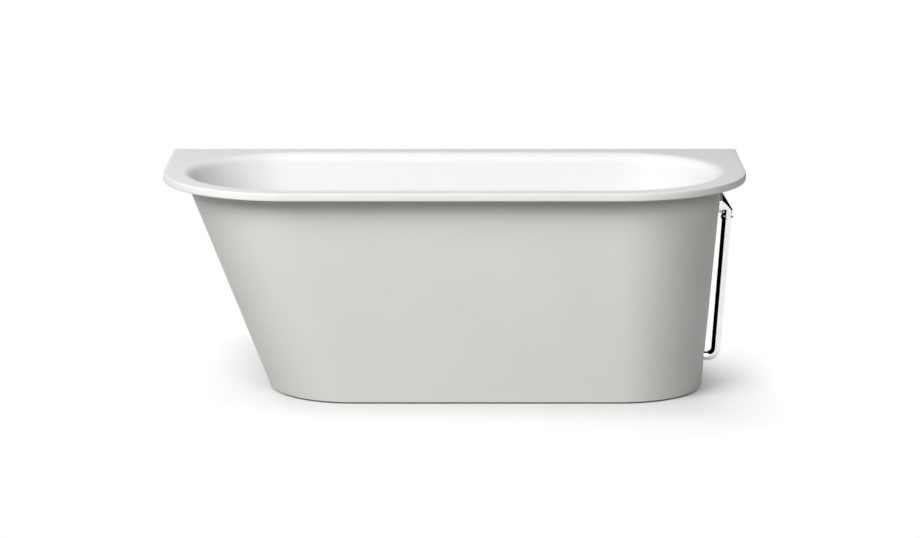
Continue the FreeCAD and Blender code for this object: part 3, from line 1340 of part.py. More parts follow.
def pieces():
    """Every piece of the bath under its node's name."""
    head_x, foot_x = -RAIL_FROM_CENTRE, RAIL_FROM_CENTRE
    head_bracket, foot_bracket = bracket_centres()
    made = {
        "bath_shell": bath_shell(),
        "outer_skirt": outer_skirt(),
        "base_board": base_board(),
        "head_rail": cross_rail(head_x),
        "foot_rail": cross_rail(foot_x),
        "centre_leg_plate": centre_leg_plate(),
        "board_screws": board_screws(),
        "foot_lock_nuts": foot_lock_nuts(),
        "head_skirt_stay": skirt_stay(head_x),
        "foot_skirt_stay": skirt_stay(foot_x),
        "stay_bolts": stay_bolts(),
        "head_wall_bracket": wall_bracket(head_bracket),
        "foot_wall_bracket": wall_bracket(foot_bracket),
        "bracket_screws": bracket_screws(),
        "overflow_elbow": overflow_elbow(),
        "overflow_gasket": overflow_gasket(),
        "overflow_spacer": overflow_spacer(),
        "overflow_seal": overflow_seal(),
        "overflow_grid": overflow_grid(),
        "overflow_grid_screw": overflow_grid_screw(),
        "overflow_collar": overflow_collar(),
        "overflow_olive": overflow_olive(),
        "overflow_pipe": overflow_pipe(),
        "pipe_grommet": pipe_grommet(),
        "overflow_tail_seal": overflow_tail_seal(),
        "overflow_tail_nut": overflow_tail_nut(),
        "waste_flange": waste_flange(),
        "waste_top_seal": waste_top_seal(),
        "waste_under_seal": waste_under_seal(),
        "waste_backnut": waste_backnut(),
        "plug_guide": plug_guide(),
        "plug_spring": plug_spring(),
        "plug_cap": plug_cap(),
        "plug_seal": plug_seal(),
        "plug_stem": plug_stem(),
        "trap_body": trap_body(),
        "trap_inlet_seal": trap_inlet_seal(),
        "trap_union_nut": trap_union_nut(),
        "trap_outlet_elbow": trap_outlet_elbow(),
        "swivel_seal": swivel_seal(),
        "outlet_seal": outlet_seal(),
        "outlet_nut": outlet_nut(),
    }
    for name, x, y, underside in foot_places():
        made["foot_pad_" + name] = foot_pad(x, y)
        made["foot_stud_" + name] = foot_stud(x, y, stud_top(name, underside))
    return made


def main():
    """Build every piece and write one file for each."""
    os.makedirs("parts", exist_ok=True)
    for name, shape in pieces().items():
        shape.exportStep("parts/" + name + ".step")
        print(name, len(shape.Solids), "valid" if shape.isValid() else "NOT VALID", round(shape.Volume))


if __name__ == "__main__":
    main()
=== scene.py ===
import logging
import math
from abc import ABC, abstractmethod
from dataclasses import dataclass
from enum import Enum
from functools import lru_cache
from typing import Any, Mapping, Sequence, Union

import bmesh
import bpy
import numpy as np
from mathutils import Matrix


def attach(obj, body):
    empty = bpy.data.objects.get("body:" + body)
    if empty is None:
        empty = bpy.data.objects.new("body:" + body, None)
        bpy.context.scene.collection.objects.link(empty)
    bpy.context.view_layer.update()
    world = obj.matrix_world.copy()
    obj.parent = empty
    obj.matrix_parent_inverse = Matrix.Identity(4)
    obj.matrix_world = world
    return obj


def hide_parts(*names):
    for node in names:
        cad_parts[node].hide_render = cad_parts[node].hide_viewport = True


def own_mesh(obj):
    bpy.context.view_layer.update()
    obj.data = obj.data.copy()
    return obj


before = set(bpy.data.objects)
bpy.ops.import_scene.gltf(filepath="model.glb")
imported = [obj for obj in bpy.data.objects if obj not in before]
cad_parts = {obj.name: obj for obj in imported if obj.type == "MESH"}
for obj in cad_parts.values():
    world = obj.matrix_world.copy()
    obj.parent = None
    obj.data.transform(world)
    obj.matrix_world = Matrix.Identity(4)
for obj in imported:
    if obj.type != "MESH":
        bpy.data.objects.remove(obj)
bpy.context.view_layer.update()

# Visual model of a back-to-wall bath with its own skirt and an exposed overflow pipe, in metres.
# +Z is up, +X runs from the sloping head end to the foot end with the waste, +Y points at the wall.

LOG = logging.getLogger("bath")

Value = Union[float, Sequence[float], "Socket"]
Triple = tuple[float, float, float]
Colour = Triple

X_AXIS = np.array([1.0, 0.0, 0.0])
Y_AXIS = np.array([0.0, 1.0, 0.0])
Z_AXIS = np.array([0.0, 0.0, 1.0])


class Body(Enum):
    """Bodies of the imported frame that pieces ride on."""

    BATH = "bath"
    PLUG = "plug"


class End(Enum):
    """Ends of the bath."""

    HEAD = "head"
    FOOT = "foot"


class Skin(Enum):
    """Sides of the tub's moulding that have finishes of their own."""

    FACE = 0
    REINFORCED = 1


class Socket:
    """Output of a shader node that takes part in Python expressions."""

    def __init__(self, graph: "Graph", output: bpy.types.NodeSocket) -> None:
        """Wraps one output socket of a graph."""
        self.graph = graph
        self.output = output

    def _math(self, operation: str, left: Value, right: Value) -> "Socket":
        """Adds a Math node that joins two values."""
        return self.graph.add("ShaderNodeMath", {"operation": operation}, {0: left, 1: right})

    def __add__(self, other: Value) -> "Socket":
        """Sum of this value and another."""
        return self._math("ADD", self, other)

    def __radd__(self, other: Value) -> "Socket":
        """Sum of another value and this one."""
        return self._math("ADD", other, self)

    def __sub__(self, other: Value) -> "Socket":
        """This value less another."""
        return self._math("SUBTRACT", self, other)

    def __rsub__(self, other: Value) -> "Socket":
        """Another value less this one."""
        return self._math("SUBTRACT", other, self)

    def __mul__(self, other: Value) -> "Socket":
        """Product of this value and another."""
        return self._math("MULTIPLY", self, other)

    def __rmul__(self, other: Value) -> "Socket":
        """Product of another value and this one."""
        return self._math("MULTIPLY", other, self)

    def __or__(self, other: Value) -> "Socket":
        """Larger of this value and another."""
        return self._math("MAXIMUM", self, other)

    def band(self, low: float, high: float) -> "Socket":
        """Share of the way from low to high, held between 0 and 1.

        Args:
            low: Value that gives 0.
            high: Value that gives 1.

        Returns:
            The share as a new socket.
        """
        inputs = {0: self, 1: low, 2: high, 3: 0.0, 4: 1.0}
        return self.graph.add("ShaderNodeMapRange", {"clamp": True}, inputs)


class Graph:
    """Node tree of one material or world."""

    def __init__(self, tree: bpy.types.NodeTree) -> None:
        """Empties a node tree and takes it over."""
        self.tree = tree
        tree.nodes.clear()

    def add(
        self,
        kind: str,
        settings: Mapping[str, Any] | None = None,
        inputs: Mapping[Union[int, str], Any] | None = None,
        output: Union[int, str] = 0,
    ) -> Socket:
        """Adds any node.

        Args:
            kind: Type of the node.
            settings: Properties of the node, set first; "stops" sets a colour ramp.
            inputs: Values or links of its sockets, by name or number.
            output: Output to wrap, by name or number.

        Returns:
            The wrapped output, or the node's first input where it has no output.
        """
        node = self.tree.nodes.new(kind)
        for name, value in (settings or {}).items():
            if name == "stops":
                self._set_stops(node.color_ramp, value)
            else:
                setattr(node, name, value)
        for key, value in (inputs or {}).items():
            if isinstance(value, Socket):
                self.tree.links.new(value.output, node.inputs[key])
            else:
                node.inputs[key].default_value = value
        return Socket(self, node.outputs[output] if len(node.outputs) else node.inputs[0])

    @staticmethod
    def _set_stops(ramp: bpy.types.ColorRamp, stops: Sequence[tuple[float, Colour]]) -> None:
        """Puts stops on a ramp.

        Args:
            ramp: Ramp of a node.
            stops: Place and colour of each stop.
        """
        while len(ramp.elements) < len(stops):
            ramp.elements.new(1.0)
        for element, (place, colour) in zip(ramp.elements, stops):
            element.position = place
            element.color = (*colour, 1.0)

    def mapped(self, scale: Sequence[float], turn: Sequence[float] = (0.0, 0.0, 0.0)) -> Socket:
        """Object coordinates, scaled and turned.

        Args:
            scale: Factors along the three axes.
            turn: Turn about the three axes, in degrees.

        Returns:
            The mapped coordinates.
        """
        place = self.add("ShaderNodeTexCoord", output="Object")
        angles = [math.radians(angle) for angle in turn]
        return self.add("ShaderNodeMapping", {}, {"Vector": place, "Scale": scale, "Rotation": angles})

    def noise(self, scale: float, detail: float = 2.0, vector: Socket | None = None) -> Socket:
        """Even noise between 0 and 1 at a scale in cycles for each metre."""
        place = vector or self.mapped((1.0, 1.0, 1.0))
        return self.add("ShaderNodeTexNoise", {}, {"Vector": place, "Scale": scale, "Detail": detail})

    def streaks(self, stretch: Sequence[float], detail: float = 2.0) -> Socket:
        """Noise at a scale of its own along each axis, in cycles for each metre."""
        return self.noise(1.0, detail, self.mapped(stretch))

    def cells(self, place: Socket, scale: float = 1.0) -> Socket:
        """A tone between 0 and 1 for each cell of a cellular pattern."""
        tones = self.add("ShaderNodeTexVoronoi", {}, {"Vector": place, "Scale": scale}, "Color")
        return self.add("ShaderNodeSeparateColor", {}, {0: tones})

    def vector(self, operation: str, *vectors: Value) -> Socket:
        """Vector Math on one or two vectors."""
        return self.add("ShaderNodeVectorMath", {"operation": operation}, dict(enumerate(vectors)))

    def blend(self, share: Value, first: Any, second: Any) -> Socket:
        """Colour between two colours.

        Args:
            share: 0 for the first colour, 1 for the second.
            first: Colour or link.
            second: Colour or link.

        Returns:
            The mixed colour.
        """
        colours = [c if isinstance(c, Socket) else (*c, 1.0) for c in (first, second)]
        inputs = {0: share, 6: colours[0], 7: colours[1]}
        return self.add("ShaderNodeMix", {"data_type": "RGBA"}, inputs, 2)

    def bump(self, height: Socket, strength: float, distance: float) -> Socket:
        """Surface normal raised by a height, at most distance metres."""
        inputs = {"Height": height, "Strength": strength, "Distance": distance}
        return self.add("ShaderNodeBump", {}, inputs)

    def surface(self, inputs: Mapping[str, Any]) -> None:
        """Ends a material in a Principled shader with these inputs."""
        shader = self.add("ShaderNodeBsdfPrincipled", {}, inputs)
        self.add("ShaderNodeOutputMaterial", {}, {"Surface": shader})


def shade(colour: Colour, factor: float) -> Colour:
    """A colour made lighter or darker by a factor."""
    return tuple(channel * factor for channel in colour)


@dataclass(frozen=True)
class Patches:
    """Soft patches cut out of noise.

    Attributes:
        scale: Cycles of the noise for each metre.
        detail: Detail of the noise.
        low: Noise at which a patch begins.
        high: Noise at which it is full.
    """

    scale: float
    detail: float
    low: float
    high: float

    def mask(self, graph: Graph, place: Socket | None = None) -> Socket:
        """1 inside the patches and 0 between them."""
        return graph.noise(self.scale, self.detail, place).band(self.low, self.high)


@dataclass(frozen=True)
class Finish(ABC):
    """A surface finish under the record's slot name.

    Attributes:
        slot: Material slot of the record.
        colour: Main colour, linear.
        roughness: Roughness of a clean spot.
    """

    slot: str
    colour: Colour
    roughness: float

    @abstractmethod
    def paint(self, graph: Graph) -> None:
        """Adds this finish's nodes to an empty graph."""

    @lru_cache(maxsize=None)
    def material(self) -> bpy.types.Material:
        """Makes this finish's material, once.

        Returns:
            The material.
        """
        made = bpy.data.materials.new(type(self).__name__)
        made.use_nodes = True
        self.paint(Graph(made.node_tree))
        made.diffuse_color = (*self.colour, 1.0)
        return made


@dataclass(frozen=True)
class SilkAcrylic(Finish):
    """White sheet with a silk-matt face: a fine even tooth and a little dried water haze."""

    slot: str = "white_acrylic"
    colour: Colour = (0.82, 0.82, 0.813)
    roughness: float = 0.40
    haze: Patches = Patches(7.0, 4.0, 0.42, 0.72)
    specks: Patches = Patches(190.0, 2.0, 0.62, 0.74)
    tooth_scale: float = 900.0
    refraction: float = 1.49

    def paint(self, graph: Graph) -> None:
        """Adds haze in patches, specks in the haze, and the tooth of the mould.

        Args:
            graph: Empty graph of the material.
        """
        haze = self.haze.mask(graph)
        specks = self.specks.mask(graph)
        tooth = graph.noise(self.tooth_scale)
        graph.surface({
            "Base Color": graph.blend(haze, self.colour, shade(self.colour, 0.985)),
            "Roughness": self.roughness + 0.05 * haze + 0.04 * specks * haze,
            "Normal": graph.bump(tooth, 0.05, 0.0003),
            "IOR": self.refraction,
            "Specular IOR Level": 0.3,
        })


@dataclass(frozen=True)
class GlassFibre(Finish):
    """Rough resin with chopped glass strands on the back of the tub."""

    slot: str = "white_acrylic"
    colour: Colour = (0.66, 0.65, 0.59)
    roughness: float = 0.62
    strand_colour: Colour = (0.82, 0.82, 0.79)
    strand_stretch: Triple = (26.0, 430.0, 26.0)
    strand_turns: Triple = (20.0, 78.0, 141.0)
    strand_tilt: float = 35.0
    strand: Patches = Patches(1.0, 3.0, 0.52, 0.66)
    blotch_scale: float = 9.0

    def paint(self, graph: Graph) -> None:
        """Adds strands at three turns, each a noise drawn out along its length.

        Args:
            graph: Empty graph of the material.
        """
        strands = None
        for turn in self.strand_turns:
            place = graph.mapped(self.strand_stretch, (turn, self.strand_tilt, turn))
            lines = self.strand.mask(graph, place)
            strands = lines if strands is None else strands | lines
        blotch = graph.noise(self.blotch_scale, 4.0)
        resin = graph.blend(blotch.band(0.3, 0.7), self.colour, shade(self.colour, 0.86))
        graph.surface({
            "Base Color": graph.blend(0.55 * strands, resin, self.strand_colour),
            "Roughness": self.roughness - 0.22 * strands,
            "Normal": graph.bump(strands + 0.6 * blotch, 0.5, 0.0012),
        })


@dataclass(frozen=True)
class SatinPaint(Finish):
    """Pale sage sprayed paint with a fine orange-peel skin."""

    slot: str = "skirt_paint"
    colour: Colour = (0.662, 0.677, 0.633)
    roughness: float = 0.42
    mottle: Patches = Patches(5.0, 5.0, 0.3, 0.7)
    skin_scale: float = 340.0

    def paint(self, graph: Graph) -> None:
        """Adds spray mottling and a pebbled skin.

        Args:
            graph: Empty graph of the material.
        """
        mottle = self.mottle.mask(graph)
        skin = graph.noise(self.skin_scale)
        graph.surface({
            "Base Color": graph.blend(mottle, shade(self.colour, 1.012), shade(self.colour, 0.982)),
            "Roughness": self.roughness + 0.1 * mottle + 0.06 * skin,
            "Normal": graph.bump(skin, 0.09, 0.0004),
            "Specular IOR Level": 0.3,
        })


@dataclass(frozen=True)
class Chrome(Finish):
    """Bright plated metal with faint polishing lines and finger haze."""

    slot: str = "chrome"
    colour: Colour = (0.85, 0.86, 0.87)
    roughness: float = 0.035
    haze: Patches = Patches(38.0, 4.0, 0.45, 0.75)
    line_stretch: Triple = (60.0, 60.0, 2400.0)

    def paint(self, graph: Graph) -> None:
        """Adds haze patches and very fine lines to the gloss.

        Args:
            graph: Empty graph of the material.
        """
        haze = self.haze.mask(graph)
        lines = graph.streaks(self.line_stretch)
        graph.surface({
            "Base Color": graph.blend(haze, self.colour, shade(self.colour, 0.94)),
            "Metallic": 1.0,
            "Roughness": self.roughness + 0.07 * haze + 0.03 * lines,
            "Normal": graph.bump(lines, 0.012, 0.0003),
        })


@dataclass(frozen=True)
class ZincSteel(Finish):
    """Zinc-plated sheet steel with a crystal spangle."""

    slot: str = "zinc_steel"
    colour: Colour = (0.55, 0.56, 0.57)
    roughness: float = 0.34
    spangle_scale: float = 120.0
    streak_stretch: Triple = (9.0, 240.0, 9.0)
    dull: Patches = Patches(26.0, 4.0, 0.55, 0.8)

    def paint(self, graph: Graph) -> None:
        """Adds cells of spangle, rolling streaks and dull spots.

        Args:
            graph: Empty graph of the material.
        """
        spangle = graph.cells(graph.mapped((1.0, 1.0, 1.0)), self.spangle_scale)
        streaks = graph.streaks(self.streak_stretch, 3.0)
        dull = self.dull.mask(graph)
        graph.surface({
            "Base Color": graph.blend(spangle, shade(self.colour, 0.84), shade(self.colour, 1.12)),
            "Metallic": 1.0 - 0.25 * dull,
            "Roughness": self.roughness + 0.12 * spangle + 0.1 * streaks + 0.15 * dull,
            "Normal": graph.bump(streaks + 0.4 * spangle, 0.06, 0.0004),
        })


@dataclass(frozen=True)
class TurnedBrass(Finish):
    """Turned brass with tool lines round it and a light tarnish."""

    slot: str = "brass"
    colour: Colour = (0.72, 0.53, 0.22)
    roughness: float = 0.24
    line_stretch: Triple = (8.0, 8.0, 1900.0)
    tarnish: Patches = Patches(60.0, 4.0, 0.4, 0.75)
    tarnish_colour: Colour = (0.30, 0.20, 0.08)

    def paint(self, graph: Graph) -> None:
        """Adds level tool lines and darker patches.

        Args:
            graph: Empty graph of the material.
        """
        lines = graph.streaks(self.line_stretch)
        tarnish = self.tarnish.mask(graph)
        graph.surface({
            "Base Color": graph.blend(0.5 * tarnish, self.colour, self.tarnish_colour),
            "Metallic": 1.0,
            "Roughness": self.roughness + 0.2 * tarnish + 0.08 * lines,
            "Normal": graph.bump(lines, 0.12, 0.0003),
        })


@dataclass(frozen=True)
class Moulded(Finish):
    """Moulded plastic or rubber: even colour with a fine pebbled grain.

    Attributes:
        dust: Colour of the dust that lies in its grain.
        dustiness: Share of the dust at its thickest.
        dust_patches: Where the dust lies.
        grain: Grain's scale in cycles for each metre.
        relief: Strength of the grain.
        flow: Flow marks of the mould.
        flow_stretch: Scale of the flow marks along each axis.
    """

    dust: Colour = (0.4, 0.4, 0.39)
    dustiness: float = 0.06
    dust_patches: Patches = Patches(22.0, 5.0, 0.4, 0.8)
    grain: float = 700.0
    relief: float = 0.12
    flow: Patches = Patches(1.0, 2.0, 0.35, 0.7)
    flow_stretch: Triple = (12.0, 12.0, 46.0)

    def paint(self, graph: Graph) -> None:
        """Adds grain, flow marks of the mould and a breath of dust.

        Args:
            graph: Empty graph of the material.
        """
        grain = graph.noise(self.grain)
        flow = self.flow.mask(graph, graph.mapped(self.flow_stretch))
        dust = self.dustiness * self.dust_patches.mask(graph)
        mould = graph.blend(flow, self.colour, shade(self.colour, 0.93))
        graph.surface({
            "Base Color": graph.blend(dust, mould, self.dust),
            "Roughness": self.roughness + 0.1 * flow + 0.08 * grain,
            "Normal": graph.bump(grain + 0.3 * flow, self.relief, 0.0004),
        })


@dataclass(frozen=True)
class ChipBoard(Finish):
    """Pressed wood chips sealed with thin resin."""

    slot: str = "board"
    colour: Colour = (0.50, 0.36, 0.21)
    roughness: float = 0.66
    chip_stretch: Triple = (70.0, 210.0, 420.0)
    chip_turn: Triple = (0.0, 0.0, 24.0)
    chip_tones: tuple[tuple[float, float], ...] = ((0.0, 0.52), (0.45, 1.0), (0.8, 1.28), (1.0, 1.5))
    fine_scale: float = 260.0

    def paint(self, graph: Graph) -> None:
        """Adds long flat chips in browns, each cell of a stretched pattern.

        Args:
            graph: Empty graph of the material.
        """
        tone = graph.cells(graph.mapped(self.chip_stretch, self.chip_turn))
        fine = graph.noise(self.fine_scale, 4.0)
        stops = [(place, shade(self.colour, factor)) for place, factor in self.chip_tones]
        chips = graph.add("ShaderNodeValToRGB", {"stops": stops}, {0: 0.75 * tone + 0.25 * fine})
        graph.surface({
            "Base Color": chips,
            "Roughness": self.roughness + 0.2 * fine,
            "Normal": graph.bump(tone + fine, 0.35, 0.0007),
        })


ACRYLIC = SilkAcrylic()
FIBRE = GlassFibre()
SAGE = SatinPaint()
CHROME = Chrome()
ZINC = ZincSteel()
BRASS = TurnedBrass()
BOARD = ChipBoard()
WHITE_PLASTIC = Moulded("white_pipe", (0.74, 0.74, 0.72), 0.32)
BLACK_PLASTIC = Moulded("black_plastic", (0.022, 0.022, 0.024), 0.42, grain=520.0, relief=0.2)
RUBBER = Moulded("rubber", (0.018, 0.018, 0.018), 0.66, dustiness=0.1, relief=0.25)


def direction(angle: float) -> np.ndarray:
    """Unit vector in the X-Z plane, sloping down from +X by an angle in degrees."""
    return np.array([math.cos(math.radians(angle)), 0.0, -math.sin(math.radians(angle))])


def arc_steps(start: float, end: float, count: int) -> np.ndarray:
    """Angles in radians from start to end degrees, both included."""
    return np.radians(np.linspace(start, end, count + 1))


def full_turn(count: int) -> np.ndarray:
    """Angles in radians of a full turn in equal steps."""
    return np.linspace(0, 2 * np.pi, count, endpoint=False)


def shares(steps: int) -> np.ndarray:
    """Shares from 0 to 1 in equal steps, both included."""
    return np.linspace(0, 1, steps + 1)


def raked_run(drop: np.ndarray, angle: float, outset: float) -> np.ndarray:
    """Level run of a raked wall: drop times the angle's tangent, less outset over its cosine.

    Args:
        drop: Distance below the wall's top.
        angle: Rake of the wall from upright, in degrees.
        outset: Distance that the wall is moved out, square to itself.

    Returns:
        The run at each drop.
    """
    slant = math.radians(angle)
    return drop * math.tan(slant) - outset / math.cos(slant)


def lerp(first: np.ndarray, second: np.ndarray, parts: np.ndarray) -> np.ndarray:
    """Rows of points between two rows of points: the first by 1 - part and the second by part.

    Args:
        first: Points of the first row, n by 3.
        second: Points of the second row, n by 3.
        parts: Shares of the way to the second row.

    Returns:
        Points, rows by n by 3.
    """
    part = parts[:, None, None]
    return first[None] * (1 - part) + second[None] * part


class Shape:
    """Collects grids of points and their faces, and turns them into one mesh."""

    def __init__(self) -> None:
        """Starts with no points."""
        self.points: list[np.ndarray] = []
        self.faces: list[np.ndarray] = []
        self.skins: list[np.ndarray] = []
        self.count = 0

    def place(self, points: np.ndarray) -> np.ndarray:
        """Adds points.

        Args:
            points: Points, in an array of any shape whose last axis has three places.

        Returns:
            Their numbers in that shape.
        """
        flat = np.asarray(points, float).reshape(-1, 3)
        numbers = np.arange(self.count, self.count + len(flat)).reshape(np.shape(points)[:-1])
        self.points.append(flat)
        self.count += len(flat)
        return numbers

    def cover(self, faces: np.ndarray, skin: Union[int, np.ndarray] = 0) -> None:
        """Adds faces.

        Args:
            faces: Three or four point numbers for each face.
            skin: One skin, or one for each face.
        """
        faces = np.asarray(faces).reshape(-1, np.shape(faces)[-1])
        self.faces.append(faces)
        self.skins.append(np.broadcast_to(skin, len(faces)).astype(np.int32))

    def net(
        self,
        numbers: np.ndarray,
        round_rows: bool = False,
        round_columns: bool = False,
        keep: np.ndarray | None = None,
        skin: np.ndarray | int = 0,
    ) -> None:
        """Covers a grid of point numbers with four-sided faces.

        Args:
            numbers: Point numbers, rows by columns.
            round_rows: The last row joins the first.
            round_columns: The last column joins the first.
            keep: Mask of the faces to make, or None for all.
            skin: One skin, or one for each row of faces.
        """
        grid = numbers
        if round_rows:
            grid = np.concatenate([grid, grid[:1]], 0)
        if round_columns:
            grid = np.concatenate([grid, grid[:, :1]], 1)
        quads = np.stack([grid[:-1, :-1], grid[:-1, 1:], grid[1:, 1:], grid[1:, :-1]], -1)
        skins = np.broadcast_to(np.asarray(skin).reshape(-1, 1), quads.shape[:2])
        mask = np.ones(quads.shape[:2], bool) if keep is None else keep
        self.cover(quads[mask], skins[mask])

    def rings(self, points: np.ndarray, round_rows: bool = False) -> np.ndarray:
        """Adds closed rings of points, joined one to the next.

        Args:
            points: Points, rings by points by 3.
            round_rows: The last ring joins the first.

        Returns:
            Their numbers, rings by points.
        """
        numbers = self.place(points)
        self.net(numbers, round_rows, True)
        return numbers

    def fan(self, ring: np.ndarray, tip: np.ndarray) -> None:
        """Closes a ring of point numbers with triangles to a tip point."""
        centre = np.full(len(ring), self.place(tip[None])[0])
        self.cover(np.stack([ring, np.roll(ring, -1), centre], -1))

    def object(self, name: str, finishes: Sequence[Finish], sharp: float) -> bpy.types.Object:
        """Makes the mesh object.

        Args:
            name: Name of the piece.
            finishes: A finish for each skin.
            sharp: Angle in degrees from which an edge shows as a crease.

        Returns:
            The object, at the origin, with its place in its mesh.
        """
        mesh = bpy.data.meshes.new(name)
        points = np.concatenate(self.points)
        mesh.vertices.add(len(points))
        mesh.vertices.foreach_set("co", points.astype(np.float32).ravel())
        corners = np.concatenate([faces.ravel() for faces in self.faces])
        sizes = np.concatenate([np.full(len(faces), faces.shape[1]) for faces in self.faces])
        mesh.loops.add(len(corners))
        mesh.loops.foreach_set("vertex_index", corners.astype(np.int32))
        mesh.polygons.add(len(sizes))
        starts = np.concatenate([[0], np.cumsum(sizes)[:-1]])
        mesh.polygons.foreach_set("loop_start", starts.astype(np.int32))
        mesh.polygons.foreach_set("material_index", np.concatenate(self.skins))
        mesh.polygons.foreach_set("use_smooth", np.ones(len(sizes), bool))
        mesh.update(calc_edges=True)
        mesh.validate()
        for finish in finishes:
            mesh.materials.append(finish.material())
        work = bmesh.new()
        work.from_mesh(mesh)
        bmesh.ops.recalc_face_normals(work, faces=work.faces[:])
        work.to_mesh(mesh)
        work.free()
        mesh.set_sharp_from_angle(angle=math.radians(sharp))
        made = bpy.data.objects.new(name, mesh)
        bpy.context.scene.collection.objects.link(made)
        return made


def fit(piece: bpy.types.Object, body: str, slot: str, *nodes: str) -> None:
    """Sets a piece on its body in place of CAD nodes.

    Args:
        piece: The new piece.
        body: Name of the body that it rides on.
        slot: Slot of its finish in the record; not used.
        nodes: CAD nodes that it stands for.
    """
    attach(piece, body)
    if nodes:
        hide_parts(*nodes)
    LOG.info("%s rides on %s for %s", piece.name, body, ", ".join(nodes) or "itself")


def soften(piece: bpy.types.Object, width: float, steps: int = 2, angle: float = 40.0) -> None:
    """Rounds a piece's sharp edges with a Bevel.

    Args:
        piece: The piece.
        width: Width of the round, in metres.
        steps: Steps of the round.
        angle: Angle in degrees from which an edge is sharp.
    """
    bevel = piece.modifiers.new("soft_edges", "BEVEL")
    bevel.width = width
    bevel.segments = steps
    bevel.limit_method = "ANGLE"
    bevel.angle_limit = math.radians(angle)
    bevel.harden_normals = True


def circle(centre: np.ndarray, across: np.ndarray, along: np.ndarray, count: int) -> np.ndarray:
    """Ring of points: centre plus across by the cosine and along by the sine of a full turn.

    Args:
        centre: Middle of the ring.
        across: Radius vector at the start.
        along: Radius vector a quarter turn later.
        count: Number of points.

    Returns:
        Points, count by 3.
    """
    turn = full_turn(count)[:, None]
    return centre + np.cos(turn) * across + np.sin(turn) * along


def turned(
    shape: Shape, profile: np.ndarray, base: np.ndarray, axis: np.ndarray, count: int, closed: bool = False
) -> None:
    """Adds a surface turned about an axis: each profile point (radius, height) makes a ring.

    Args:
        shape: Shape to add to.
        profile: Radii and heights; a radius of zero at an end closes it in a point.
        base: Point of the axis at height zero.
        axis: Unit vector of the axis.
        count: Points round each ring.
        closed: The last ring joins the first.
    """
    turn = full_turn(count)[:, None]
    spokes = np.cos(turn) * Y_AXIS + np.sin(turn) * np.cross(axis, Y_AXIS)
    radius, height = profile[:, 0], profile[:, 1]
    solid = radius > 0
    rows = base + radius[solid, None, None] * spokes[None] + height[solid, None, None] * axis
    numbers = shape.rings(rows, closed)
    if not solid[0]:
        shape.fan(numbers[0], base + height[0] * axis)
    if not solid[-1]:
        shape.fan(numbers[-1], base + height[-1] * axis)


def rounded_profile(corners: Sequence[tuple[float, float, float]], steps: int = 5) -> np.ndarray:
    """Profile through corner points, each rounded by its own radius.

    Each round is the quadratic curve from the point a radius before the corner to the one a radius
    after it, with the corner as its control point.

    Args:
        corners: Radius from the axis, height, and rounding of each corner.
        steps: Steps along each round.

    Returns:
        Profile points, n by 2.
    """
    spots = np.array([corner[:2] for corner in corners])
    profile = [spots[:1]]
    for index in range(1, len(corners) - 1):
        spot, reach = spots[index], corners[index][2]
        if reach <= 0:
            profile.append(spot[None])
            continue
        before = spots[index - 1] - spot
        after = spots[index + 1] - spot
        start = spot + before / np.linalg.norm(before) * reach
        end = spot + after / np.linalg.norm(after) * reach
        t = shares(steps)[:, None]
        profile.append((1 - t) ** 2 * start + 2 * t * (1 - t) * spot + t ** 2 * end)
    profile.append(spots[-1:])
    return np.concatenate(profile)


@dataclass(frozen=True)
class OverflowAxis:
    """Line through both skins that the overflow's pieces stand on.

    Attributes:
        lean: Slope of the foot walls from upright, in degrees.
        height: Level of the axis on the skirt's outer face.
        face_x: Place of that face along the bath at this level.
        skirt_wall: Thickness of the skirt.
        skin_gap: Space between skirt and tub.
        tub_wall: Thickness of the tub.
    """

    lean: float = 5.0
    height: float = 0.530
    face_x: float = 0.7706
    skirt_wall: float = 0.006
    skin_gap: float = 0.00398
    tub_wall: float = 0.008

    @property
    def outward(self) -> np.ndarray:
        """Unit vector out of the skirt."""
        return direction(self.lean)

    @property
    def upward(self) -> np.ndarray:
        """Unit vector up along the skirt."""
        return np.cross(self.outward, Y_AXIS)

    @property
    def tub_depth(self) -> float:
        """Depth of the tub's inner face behind the skirt's outer face."""
        return self.skirt_wall + self.skin_gap + self.tub_wall

    def point(self, out: float, up: float = 0.0) -> np.ndarray:
        """Point beside the axis, out from the skirt's face and up along it."""
        return np.array([self.face_x, 0.0, self.height]) + self.outward * out + self.upward * up

    def disc(self, spread: np.ndarray, out: float) -> np.ndarray:
        """Points of a plane across the axis from their sideways and upward places, n by 2."""
        return self.point(out) + spread[:, :1] * Y_AXIS + spread[:, 1:] * self.upward

    def spread(self, points: np.ndarray) -> np.ndarray:
        """Sideways and upward places of points about the axis, n by 2."""
        away = points - self.point(0.0)
        return np.stack([points[:, 1], away @ self.upward], -1)


def block_edge(numbers: np.ndarray) -> np.ndarray:
    """Edge of a block of a grid.

    Args:
        numbers: Point numbers of the block, rows by columns.

    Returns:
        The numbers round its edge, in order.
    """
    top, right = numbers[0, :-1], numbers[:-1, -1]
    bottom, left = numbers[-1, :0:-1], numbers[:0:-1, 0]
    return np.concatenate([top, right, bottom, left])


def shrink_to_circle(spread: np.ndarray, radius: float, steps: int) -> list[np.ndarray]:
    """Rings of places that close in from an edge to a circle, each along its own spoke.

    Args:
        spread: Places of the edge about the circle's middle, n by 2.
        radius: Radius of the circle.
        steps: Rings after the edge.

    Returns:
        The rings, the circle last.
    """
    reach = np.linalg.norm(spread, axis=1, keepdims=True)
    circle_spots = spread / reach * radius
    return [spread * (1 - share) + circle_spots * share for share in shares(steps)[1:]]


